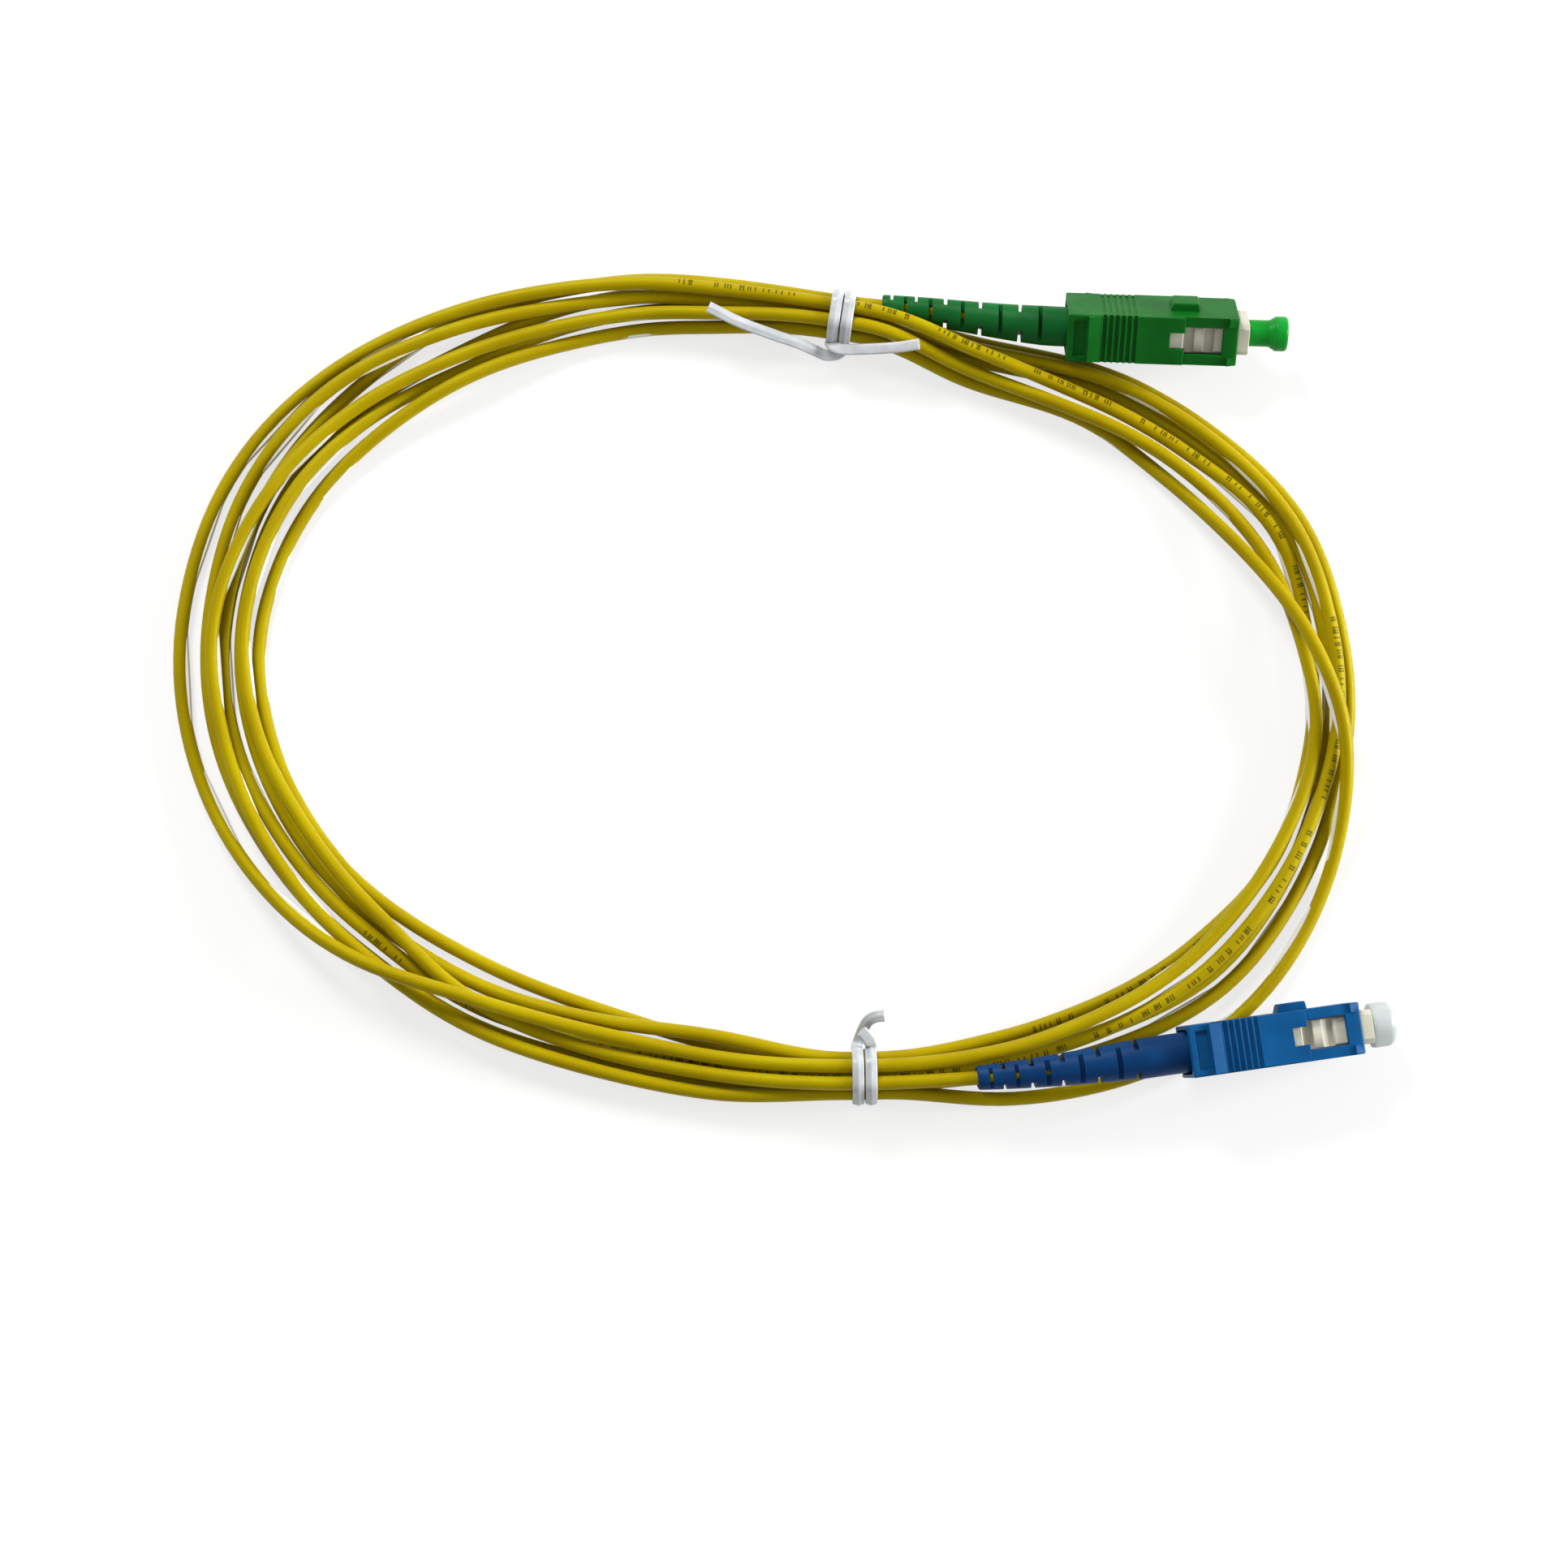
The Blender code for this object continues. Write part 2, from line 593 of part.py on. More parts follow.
def least_gap(turns):
    """Least centre distance between parts of the cord that are over 30 mm apart along it."""
    fine = []
    for a, b in zip(turns[:-1], turns[1:]):
        fine += [a + (b - a) * k / 8 for k in range(8)]
    fine = np.array(fine)
    leg = np.linalg.norm(np.diff(fine, axis=0), axis=1)
    along = np.r_[0, np.cumsum(leg)]
    best = 1e9
    for i in range(0, len(fine)):
        far = np.abs(along - along[i]) > 30.0
        best = min(best, np.linalg.norm(fine[far] - fine[i], axis=1).min())
    return best, along[-1]


# ---------------------------------------------------------------- cord, fibre and ties
def make_cord(root):
    points, turns, line, bottom = cord_route()
    outer = round_section(JACKET_D / 2, JACKET_SIDES)
    bore = round_section(JACKET_BORE_D / 2, BORE_SIDES)
    verts, faces = sweep_data(points, (outer, bore))
    verts = [(x, y, max(z, 0.0)) for x, y, z in verts]
    jacket = add_object("cord_jacket", verts, faces, root, "yellow_pvc", smooth=True)
    ends = []
    for key in ("apc", "upc"):
        spec = CONNECTORS[key]
        reach = -(GRIP_L + spec["frame_out"] - frame_back("fibre_end"))
        ends.append(lead_points(spec, (reach, reach + FIBRE_LEAD)))
    fibre_points = np.vstack([ends[0], points, ends[1][::-1]])
    fibre = round_section(FIBRE_D / 2, BORE_SIDES)
    add_object("buffered_fibre", *sweep_data(fibre_points, (fibre,)), root, "buffer_white", smooth=True)
    gap, length = least_gap(turns)
    whole = np.linalg.norm(np.diff(points, axis=0), axis=1).sum()
    print(f"cord: hank {length:.1f} mm, jacket {whole:.1f} mm, {len(points)} points,"
          f" least gap to itself {gap - JACKET_D:.3f} mm, top of turns {turns[:, 2].max() + 1:.2f} mm")
    return jacket, points, line, bottom


def hull_loop(offset, arc_steps=4):
    """Outline of the bundle in a tie, (outward, height), this far outside the slot centres."""
    order = ["m1", "t1", "t2", "m3", "b2", "b1"]
    centres = [slot_place(name) for name in order]
    out = []
    for i, centre in enumerate(centres):
        before = centre - centres[i - 1]
        after = centres[(i + 1) % len(centres)] - centre
        a0 = math.atan2(before[0], -before[1])
        a1 = math.atan2(after[0], -after[1])
        while a1 > a0:
            a1 -= 2 * math.pi
        for k in range(arc_steps + 1):
            a = a0 + (a1 - a0) * k / arc_steps
            out.append((centre[0] + offset * math.cos(a), centre[1] + offset * math.sin(a)))
    return np.array(out)


def smooth_step(t):
    t = min(max(t, 0.0), 1.0)
    return t * t * (3 - 2 * t)


def open_curve(points, steps):
    """Smooth open line through the points."""
    points = np.array(points, float)
    ends = np.vstack([2 * points[0] - points[1], points, 2 * points[-1] - points[-2]])
    out = []
    for i in range(1, len(ends) - 2):
        p0, p1, p2, p3 = ends[i - 1:i + 3]
        for k in range(steps):
            t = k / steps
            out.append(0.5 * (2 * p1 + (p2 - p0) * t + (2 * p0 - 5 * p1 + 4 * p2 - p3) * t ** 2
                              + (3 * p1 - p0 - 3 * p2 + p3) * t ** 3))
    out.append(points[-1])
    return out


def make_tie(name, root, line, at, tail_in, tail_out):
    """One plastic strip: a free tail, two rounds of the bundle, and another free tail that
    crosses over the first.  Tail points are (outward, along, height) from the bundle."""
    loop = hull_loop(JACKET_D / 2 + TIE_CLEAR + TIE_THICK / 2)
    count = len(loop)
    flat = line.outward(np.array([at]))[0]
    outward = np.array([flat[0], flat[1], 0.0])
    along = np.array([-flat[1], flat[0], 0.0])
    origin = np.array([*line.point(np.array([at]))[0], 0.0])
    rise = np.array([0.0, 0.0, 1.0])

    def put(u, s, z):
        return origin + outward * u + along * s + rise * z

    first = open_curve(tail_in[::-1], 3)
    last = open_curve(tail_out, 3)
    path = [put(*p) for p in first]
    ups = [rise] * (len(path) - 2) + [rise - 0.6 * outward, 0.3 * rise - outward]
    for k in range(3, 2 * count):
        u, z = loop[k % count]
        shift = -TIE_PITCH / 2 + TIE_PITCH * smooth_step((k / count - 0.84) / 0.2)
        run = loop[(k + 1) % count] - loop[(k - 1) % count]
        run /= np.linalg.norm(run)
        path.append(put(u, shift, z))
        ups.append(outward * -run[1] + rise * run[0])
    path += [put(*p) for p in last]
    ups += [-0.7 * outward - 0.7 * rise, -0.5 * outward - rise] + [-rise] * (len(last) - 2)
    half_w, half_t = TIE_WIDTH / 2, TIE_THICK / 2
    strip = [(-half_w, -half_t), (half_w, -half_t), (half_w, half_t), (-half_w, half_t)]
    data = sweep_data(np.array(path), (strip,), np.array(ups))
    return add_object(name, *data, root, "tie_white")


# ---------------------------------------------------------------- connector pieces
def make_grip(key, spec, mount):
    """Push-pull sleeve.  Its stepped latch windows, corner blocks and key let an adapter lock on it."""
    w, h = GRIP_W / 2, GRIP_H / 2
    c = NOSE_CHAMFER
    wide_end = GRIP_L - FRONT_WALL
    step_z = wide_end - WINDOW_WIDE_L
    narrow_z = step_z - WINDOW_NARROW_L
    outline = [(-w, 0), (w, 0), (w, GRIP_L - c), (w - c, GRIP_L), (c - w, GRIP_L), (-w, GRIP_L - c)]
    grip = add_object(f"{key}_grip_housing", *prism_data(outline, "y", (-h, h)), mount, f"{GRIP_SLOT[key]}")
    z0 = spec["key_z"]
    ramp = [(h - 0.3, z0), (h + KEY_RISE, z0 + KEY_SLOPE), (h + KEY_RISE, z0 + KEY_L - KEY_SLOPE / 2),
            (h - 0.3, z0 + KEY_L)]
    added = [prism_data(ramp, "x", (-KEY_W / 2, KEY_W / 2))]
    z1, z2 = SHOULDER_Z
    for side in (-1, 1):
        wedge = [(side * (w - 0.3), z1), (side * w, z1), (side * (w + SHOULDER_RISE), z2 - 0.3),
                 (side * (w + SHOULDER_RISE), z2), (side * (w - 0.3), z2)]
        added.append(prism_data([(a, b) for a, b in wedge], "y", (-h + 0.15, h - 0.15)))
    boolean(grip, f"{key}_grip_key_and_shoulders", gather(*added), "UNION")

    cuts = [box_data((-GRIP_BORE_W / 2, GRIP_BORE_W / 2), (-GRIP_BORE_H / 2, GRIP_BORE_H / 2),
                     (GRIP_REAR_DEPTH - 1, GRIP_L + 1))]
    boolean(grip, f"{key}_grip_bore", gather(*cuts), "DIFFERENCE")
    rear = box_data((-GRIP_BORE_W / 2 + 0.02, GRIP_BORE_W / 2 - 0.02),
                    (-GRIP_REAR_BORE_H / 2, GRIP_REAR_BORE_H / 2), (-1, GRIP_REAR_DEPTH))
    boolean(grip, f"{key}_grip_rear_bore", rear, "DIFFERENCE")

    cuts = []
    for side in (-1, 1):
        out, wall = side * (w + 1), side * (w - SIDE_STEP)
        cuts.append(box_data(sorted((out, side * (w - POCKET_DEEP))), (-POCKET_H / 2, POCKET_H / 2), POCKET_Z))
        for i in range(GROOVE_COUNT):
            z = GROOVE_START + i * GROOVE_PITCH
            cuts.append(box_data(sorted((out, side * (w - GROOVE_DEEP))), (-h - 1, h + 1),
                                 (z, z + GROOVE_WIDE)))
        block = GRIP_L - CORNER_BLOCK_L
        tall = h - CORNER_BLOCK_H
        step = [(-h - 1, step_z), (h + 1, step_z), (h + 1, block), (tall, block),
                (tall, GRIP_L + 1), (-tall, GRIP_L + 1), (-tall, block), (-h - 1, block)]
        cuts.append(prism_data(step, "x", sorted((out, wall))))
    boolean(grip, f"{key}_grip_grooves", gather(*cuts), "DIFFERENCE")

    cuts = []
    for side in (-1, 1):
        n, wide = WINDOW_NARROW_H / 2, WINDOW_WIDE_H / 2
        hole = [(-n, narrow_z), (n, narrow_z), (n, step_z - 0.5), (wide, step_z + 0.1), (wide, wide_end),
                (-wide, wide_end), (-wide, step_z + 0.1), (-n, step_z - 0.5)]
        span = sorted((side * (GRIP_BORE_W / 2 - 0.5), side * (w + 1)))
        cuts.append(prism_data(hole, "x", span))
    for side in (-1, 1):
        for i in range(GROOVE_COUNT):
            z = GROOVE_START + i * GROOVE_PITCH
            span = sorted((side * (h - GROOVE_DEEP_KEY), side * (h + 1)))
            cuts.append(box_data((-w + 1.2, w - 1.2), span, (z, z + GROOVE_WIDE)))
    boolean(grip, f"{key}_grip_windows", gather(*cuts), "DIFFERENCE")
    return grip


def make_frame(key, spec, mount, front):
    """Plug frame: mouth round the ferrule, stop wall, spring chamber and a latch ridge each side."""
    w, h, c = FRAME_W / 2, FRAME_H / 2, FRAME_CHAMFER
    outline = [(-w, -h + c), (-w + c, -h), (w - c, -h), (w, -h + c), (w, h - c), (w - c, h),
               (-w + c, h), (-w, h - c)]
    frame = add_object(f"{key}_plug_frame", *prism_data(outline, "z", (front - FRAME_L, front)), mount,
                       "frame_white")
    stop = front - FRAME_MOUTH_L
    inside = [(0, front - FRAME_L - 1), (FRAME_REAR_BORE / 2, front - FRAME_L - 1),
              (FRAME_REAR_BORE / 2, stop - FRAME_STOP_L), (FRAME_STOP_BORE / 2, stop - FRAME_STOP_L),
              (FRAME_STOP_BORE / 2, stop), (FRAME_MOUTH_D / 2, stop), (FRAME_MOUTH_D / 2, front + 1),
              (0, front + 1)]
    boolean(frame, f"{key}_frame_bore", lathe_data(inside, 24), "DIFFERENCE")
    cuts = []
    z0, z1 = front + LATCH_Z[0], front + LATCH_Z[1]
    r0, r1 = front + LATCH_RIDGE_Z[0], front + LATCH_RIDGE_Z[1]
    for side in (-1, 1):
        floor, top, out = side * (w - LATCH_DEEP), side * (w - 0.05), side * (w + 1)
        shape = [(out, z0), (floor, z0), (floor, r0 - 0.5), (top, r0), (top, r1), (floor, r1),
                 (floor, z1), (out, z1)]
        cuts.append(prism_data(shape, "y", (-LATCH_H / 2, LATCH_H / 2)))
    boolean(frame, f"{key}_frame_latches", gather(*cuts), "DIFFERENCE")
    cuts = []
    back = front - FRAME_L
    for side in (-1, 1):
        span = sorted((side * (FRAME_REAR_BORE / 2 - 0.6), side * (w + 1)))
        cuts.append(box_data(span, (-0.9, 0.9), (back + 1.2, back + 2.6)))
    boolean(frame, f"{key}_frame_snap_windows", gather(*cuts), "DIFFERENCE")
    return frame


def make_ferrule(key, mount, front):
    """Ceramic rod with a cone on its tip; the green one is ground at an angle, the blue one domed."""
    r = FERRULE_D / 2
    tip, rear = front + FERRULE_OUT, front + FERRULE_OUT - FERRULE_L
    flat = r - FERRULE_CHAMFER
    profile = [(0, rear + 1.2), (0.3, rear + 1.0), (FIBRE_D / 2, rear), (r - 0.2, rear), (r, rear + 0.2),
               (r, tip - FERRULE_CHAMFER * 2.2), (flat, tip)]
    if key == "upc":
        profile += [(flat * 0.6, tip + UPC_DOME_RISE * 0.65), (0, tip + UPC_DOME_RISE)]
    else:
        profile += [(0, tip)]
    sides = 24
    verts, faces = lathe_data(profile, sides)
    if key == "apc":
        slope = math.tan(math.radians(APC_ANGLE))
        verts = [(x, y, z - (y + flat) * slope if z > tip - 1e-6 else z) for x, y, z in verts]
    return add_object(f"{key}_ferrule", verts, faces, mount, "zirconia", smooth=True)


def make_flange(key, mount, front):
    """Hexagonal collar pressed on the ferrule's rear, with a tube the spring slides over."""
    collar_front = front - frame_back("collar_front")
    collar_rear = front - frame_back("collar_rear")
    seat = front - frame_back("ferrule_rear") - 0.05
    end = collar_rear - FLANGE_BARREL_L
    sides = 24
    r = FLANGE_COLLAR_D / 2
    profile = [(FLANGE_BORE / 2, collar_front), (r, collar_front), (r, collar_rear),
               (FLANGE_BARREL_D / 2, collar_rear), (FLANGE_BARREL_D / 2, end), (FLANGE_TUBE_BORE / 2, end),
               (FLANGE_TUBE_BORE / 2, seat), (FLANGE_BORE / 2, seat)]
    verts, faces = lathe_data(profile, sides)
    shaped = []
    for x, y, z in verts:
        if z > collar_rear - 1e-6 and math.hypot(x, y) > FLANGE_BORE / 2 + 0.2 and abs(math.hypot(x, y) - r) < 1e-6:
            a = math.atan2(y, x)
            near = (a + math.pi / 6) % (math.pi / 3) - math.pi / 6
            flat = r * math.cos(math.pi / 8) / max(math.cos(near), math.cos(math.pi / 8))
            x, y = flat * math.cos(a), flat * math.sin(a)
        shaped.append((x, y, z))
    return add_object(f"{key}_ferrule_flange", shaped, faces, mount, "nickel", smooth=True)


def make_spring(key, mount, front):
    """Open coil between the flange's collar and the rear body's nose."""
    z0 = front - frame_back("body_front") + SPRING_GAP + SPRING_WIRE / 2
    z1 = front - frame_back("collar_rear") - SPRING_GAP - SPRING_WIRE / 2
    steps = int(SPRING_TURNS * 12)
    points = []
    for k in range(steps + 1):
        t = k / steps
        turn = 2 * math.pi * SPRING_TURNS * t
        points.append((SPRING_MEAN_D / 2 * math.cos(turn), SPRING_MEAN_D / 2 * math.sin(turn),
                       z0 + (z1 - z0) * t))
    wire = round_section(SPRING_WIRE / 2, 4)
    return add_object(f"{key}_spring", *sweep_data(points, (wire,)), mount, "spring_steel", smooth=True)


def make_rear_body(key, mount, front):
    """Stop body: nose in the plug frame, flange behind it, and a ringed barrel for the crimp."""
    nose = front - frame_back("body_front")
    flange = front - frame_back("body_flange")
    barrel = front - frame_back("barrel_front")
    end = front - frame_back("barrel_end")
    bore = BODY_BORE / 2
    r = BODY_BARREL_D / 2
    profile = [(bore, end), (r - 0.15, end), (r, end + 0.2)]
    z = end + KNURL_PITCH
    while z < barrel - KNURL_PITCH:
        profile += [(r, z), (r - KNURL_DEEP, z + 0.12), (r - KNURL_DEEP, z + 0.28), (r, z + 0.4)]
        z += KNURL_PITCH
    profile += [(r, barrel), (BODY_FLANGE_D / 2, barrel), (BODY_FLANGE_D / 2, flange),
                (BODY_NOSE_D / 2 - 0.05, flange), (BODY_NOSE_D / 2 - 0.05, nose - 0.3),
                (BODY_NOSE_D / 2 - 0.25, nose), (bore, nose)]
    return lathe(f"{key}_rear_body", profile, 20, mount, "nickel")


def make_crimp(key, mount, front):
    """Sleeve squeezed over the barrel, with a neck round the end of the jacket."""
    start = front - frame_back("barrel_front") - CRIMP_GAP
    step = start - CRIMP_L
    end = step - CRIMP_NECK_L
    profile = [(CRIMP_NECK_BORE / 2, end), (CRIMP_NECK_D / 2, end), (CRIMP_NECK_D / 2, step - 0.3),
               (CRIMP_D / 2, step), (CRIMP_D / 2, start), (CRIMP_BORE / 2, start), (CRIMP_BORE / 2, step + 0.25),
               (CRIMP_NECK_BORE / 2, step - 0.1)]
    return lathe(f"{key}_crimp_ring", profile, 20, mount, "crimp_steel")


def make_boot(key, spec, mount, front):
    """Bend relief: a tapered tube with pairs of slits, each pair turned a quarter from the last."""
    base = boot_base(spec)
    tip = base - BOOT_L
    half = BOOT_SLIT_W / 2
    socket_end = front - frame_back("crimp_end") - BOOT_SOCKET_CLEAR
    cuts = []
    for i in range(BOOT_SLIT_COUNT):
        share = i / (BOOT_SLIT_COUNT - 1)
        spread = BOOT_SLIT_SPREAD * share + (1 - BOOT_SLIT_SPREAD) * share ** 2
        cuts.append(tip + BOOT_FIRST_SLIT + (BOOT_L - BOOT_BARE_L - BOOT_FIRST_SLIT) * spread)
    marks = [tip, base, socket_end, tip + 0.5]
    for i, z in enumerate(cuts):
        marks += [z - half * (0.7 if i < 3 else 1.0), z + half * (0.7 if i < 3 else 1.0)]
    marks = sorted(marks)
    quarter = BOOT_SIDES // 4
    start_axis = 0 if key == "apc" else 1
    outer, inner, solid = [], [], []
    for z in marks:
        from_tip = z - tip
        wide = min(from_tip / BOOT_TAPER_L, 1.0)
        r = (BOOT_TIP_D + (BOOT_BASE_D - BOOT_TIP_D) * wide) / 2
        outer.append(r - (0.25 if from_tip < 0.1 else 0.0))
    for lo, hi in zip(marks[:-1], marks[1:]):
        middle = (lo + hi) / 2
        inner.append(BOOT_SOCKET_D / 2 if middle > socket_end else BOOT_BORE_D / 2)
        hit = [i for i, z in enumerate(cuts) if abs(z - middle) < half]
        mask = [True] * BOOT_SIDES
        if hit:
            for k in range(BOOT_SIDES):
                turned = k + spec["boot_turn"] + (quarter if (hit[0] + start_axis) % 2 else 0)
                turned %= BOOT_SIDES // 2
                mask[k] = turned < 1 or turned >= BOOT_SIDES // 2 - 1
        solid.append(mask)
    verts, lookup, faces = [], {}, []

    def corner(i, j, k):
        """Ring i, skin radius j, angle k."""
        tag = (i, round(j, 4), k % BOOT_SIDES)
        if tag not in lookup:
            a = 2 * math.pi * ((k % BOOT_SIDES) + 0.5) / BOOT_SIDES
            lookup[tag] = len(verts)
            verts.append((j * math.cos(a), j * math.sin(a), marks[i]))
        return lookup[tag]

    for i, mask in enumerate(solid):
        for k in range(BOOT_SIDES):
            if not mask[k]:
                continue
            r_in = inner[i]
            faces.append((corner(i, outer[i], k), corner(i, outer[i], k + 1),
                          corner(i + 1, outer[i + 1], k + 1), corner(i + 1, outer[i + 1], k)))
            faces.append((corner(i, r_in, k), corner(i + 1, r_in, k), corner(i + 1, r_in, k + 1),
                          corner(i, r_in, k + 1)))
            for side, at in ((k - 1, k), (k + 1, k + 1)):
                if not mask[side % BOOT_SIDES]:
                    faces.append((corner(i, outer[i], at), corner(i + 1, outer[i + 1], at),
                                  corner(i + 1, r_in, at), corner(i, r_in, at)))
            for step, ring in ((-1, i), (1, i + 1)):
                other = i + step
                shut = other < 0 or other >= len(solid) or not solid[other][k]
                if shut:
                    faces.append((corner(ring, outer[ring], k), corner(ring, outer[ring], k + 1),
                                  corner(ring, r_in, k + 1), corner(ring, r_in, k)))
                elif inner[other] > r_in + 1e-6:
                    faces.append((corner(ring, inner[other], k), corner(ring, inner[other], k + 1),
                                  corner(ring, r_in, k + 1), corner(ring, r_in, k)))
    local = connector_matrix(spec).to_3x3().inverted()
    bent = []
    for x, y, z in verts:
        a, b = boot_bend(spec, max(-z, 0.0))
        shift = local @ Vector((0, float(a), float(b)))
        bent.append((x + shift.x, y + shift.y, z))
    return add_object(f"{key}_boot", bent, faces, mount, BOOT_SLOT[key], smooth=False)


def make_cap(key, mount, front):
    """Dust cap: a bored stem that goes over the ferrule, closed at its rounded end."""
    stem, bore = CAP_STEM_D / 2, CAP_BORE / 2
    start = front - CAP_STEM_IN
    floor = front + FERRULE_OUT + CAP_CLEAR_TIP
    profile = [(0, floor + 0.35), (bore * 0.7, floor + 0.1), (bore, floor - 0.3), (bore, start + 0.3),
               (bore + 0.2, start), (stem, start)]
    if key == "apc":
        head, z0 = GREEN_CAP_HEAD_D / 2, front + GREEN_CAP_NECK_L
        z1 = z0 + GREEN_CAP_HEAD_L
        profile += [(stem, z0 - 0.35), (stem + 0.2, z0), (head - 0.15, z0 + 0.45), (head, z0 + 0.8),
                    (head, z1 - 0.7), (head - 0.3, z1 - 0.2), (head - 0.9, z1), (0, z1)]
    else:
        head, z0 = CLEAR_CAP_D / 2, front + 0.25
        z1 = z0 + CLEAR_CAP_L
        profile += [(stem, z0), (head - 0.1, z0), (head, z0 + 0.3), (head, z1 - 1.3),
                    (head - 0.25, z1 - 0.6), (head - 0.75, z1 - 0.15), (head - 1.4, z1), (0, z1)]
    return lathe(f"{key}_dust_cap", profile, 20, mount, CAP_SLOT[key])


GRIP_SLOT = {"apc": "green_grip", "upc": "blue_grip"}
BOOT_SLOT = {"apc": "green_boot", "upc": "blue_boot"}
CAP_SLOT = {"apc": "green_cap", "upc": "clear_cap"}

TOP_TAIL_LEFT = ((-4.02, -1.05, 3.65), (-4.5, -0.9, 3.0), (-5.25, -0.2, 2.6), (-5.7, 1.5, 2.9),
                 (-5.45, 3.3, 3.8), (-5.0, 5.8, 4.7), (-4.55, 9.7, 5.7), (-3.7, 14.8, 6.7), (-2.35, 19.5, 7.6))
TOP_TAIL_RIGHT = ((-3.8, 1.05, 3.3), (-4.4, 0.9, 4.3), (-4.95, 0.1, 4.9), (-5.05, -1.0, 5.0),
                  (-4.75, -3.4, 5.3), (-4.3, -6.3, 5.7), (-3.8, -9.3, 6.4), (-3.1, -12.0, 7.0))
BOTTOM_TAIL_LONG = ((-4.02, -1.05, 3.65), (-4.5, -0.9, 3.1), (-5.3, -0.2, 3.1), (-6.1, 1.2, 4.0),
                    (-6.9, 2.4, 5.8), (-7.5, 3.2, 8.0))
BOTTOM_TAIL_SHORT = ((-3.8, 1.05, 3.3), (-4.5, 0.9, 4.5), (-5.1, -0.1, 5.5), (-5.3, -1.6, 6.1),
                     (-5.1, -3.3, 6.5))


def empty(name, matrix, parent):
    obj = bpy.data.objects.new(name, None)
    bpy.context.scene.collection.objects.link(obj)
    obj.parent = parent
    obj.matrix_local = matrix
    return obj


def make_connector(key, root):
    spec = CONNECTORS[key]
    matrix = connector_matrix(spec)
    matrix.translation *= MM
    mount = empty(f"{key}_connector", matrix, root)
    front = GRIP_L + spec["frame_out"]
    make_grip(key, spec, mount)
    make_frame(key, spec, mount, front)
    make_ferrule(key, mount, front)
    make_flange(key, mount, front)
    make_spring(key, mount, front)
    make_rear_body(key, mount, front)
    make_crimp(key, mount, front)
    make_boot(key, spec, mount, front)
    make_cap(key, mount, front)


def build():
    clear_scene()
    shift = Matrix.Translation(Vector((*HANK_CENTRE, 0.0)) * MM)
    root = empty("patch_cord", shift, None)
    jacket, points, line, bottom = make_cord(root)
    make_tie("top_twist_tie", root, line, 0.0, TOP_TAIL_LEFT, TOP_TAIL_RIGHT)
    make_tie("bottom_twist_tie", root, line, bottom, BOTTOM_TAIL_LONG, BOTTOM_TAIL_SHORT)
    for key in CONNECTORS:
        make_connector(key, root)


build()
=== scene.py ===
import json
import math

import bmesh
import bpy
import numpy as np
from mathutils import Matrix, Vector

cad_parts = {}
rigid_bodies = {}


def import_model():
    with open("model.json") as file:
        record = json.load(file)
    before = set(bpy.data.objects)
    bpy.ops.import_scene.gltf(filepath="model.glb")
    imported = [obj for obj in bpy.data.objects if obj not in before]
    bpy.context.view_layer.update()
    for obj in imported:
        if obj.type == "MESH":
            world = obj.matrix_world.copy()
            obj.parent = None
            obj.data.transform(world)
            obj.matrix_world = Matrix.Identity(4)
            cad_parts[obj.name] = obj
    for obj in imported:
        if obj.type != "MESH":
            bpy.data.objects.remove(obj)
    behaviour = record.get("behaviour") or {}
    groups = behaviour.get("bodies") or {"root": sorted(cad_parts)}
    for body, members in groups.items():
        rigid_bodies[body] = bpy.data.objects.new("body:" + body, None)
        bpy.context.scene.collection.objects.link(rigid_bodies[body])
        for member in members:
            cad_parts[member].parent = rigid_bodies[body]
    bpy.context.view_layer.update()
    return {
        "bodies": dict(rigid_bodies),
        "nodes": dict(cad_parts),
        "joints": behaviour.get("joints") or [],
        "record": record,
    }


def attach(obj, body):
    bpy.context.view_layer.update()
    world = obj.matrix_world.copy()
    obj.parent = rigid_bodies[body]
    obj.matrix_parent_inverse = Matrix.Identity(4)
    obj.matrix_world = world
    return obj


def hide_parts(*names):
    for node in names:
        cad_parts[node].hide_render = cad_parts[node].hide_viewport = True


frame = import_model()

MM = 0.001
HANK_SHIFT = Vector((0.63, 0.27, 0.0)) * MM     # the hank's own middle, in the part's frame

# ---------------------------------------------------------------- camera, floor and light
# The photograph looks down on the hank from 9 degrees off the vertical, on the side of the blue
# connector.  Its picture is 1932 pixels square and 8.45 of them show a millimetre of the floor.
PHOTO_SIZE = 1932.0
PIXELS_PER_MM = 8.45
CAMERA_DISTANCE = 520.0
CAMERA_ELEVATION = math.radians(81.0)
HANK_ROW = 840.0                                # row of the picture that the hank's middle is on

towards = Vector((0, -math.cos(CAMERA_ELEVATION), math.sin(CAMERA_ELEVATION)))
picture_up = Vector((0, math.sin(CAMERA_ELEVATION), math.cos(CAMERA_ELEVATION)))
aim = Vector((0, 0, 3.0)) - picture_up * ((PHOTO_SIZE / 2 - HANK_ROW) / PIXELS_PER_MM)
camera = bpy.data.objects.new("camera", bpy.data.cameras.new("camera"))
bpy.context.scene.collection.objects.link(camera)
camera.location = (aim + towards * CAMERA_DISTANCE) * MM + HANK_SHIFT
camera.rotation_euler = (math.pi / 2 - CAMERA_ELEVATION, 0, 0)
camera.data.sensor_width = 36.0
camera.data.lens = 36.0 * PIXELS_PER_MM * CAMERA_DISTANCE / PHOTO_SIZE
camera.data.clip_start = 0.01
bpy.context.scene.camera = camera

bpy.ops.object.select_all(action="DESELECT")
bpy.ops.mesh.primitive_plane_add(size=4.0, location=(0, 0, -0.00005))
floor = bpy.context.object
floor.name = "floor"
FLOOR_WHITE = (0.60, 1.0)       # share of plain white in what the camera sees of the floor: at the hank, far out
FLOOR_FADE = (0.13, 0.36)       # metres from the middle between which the one goes over into the other


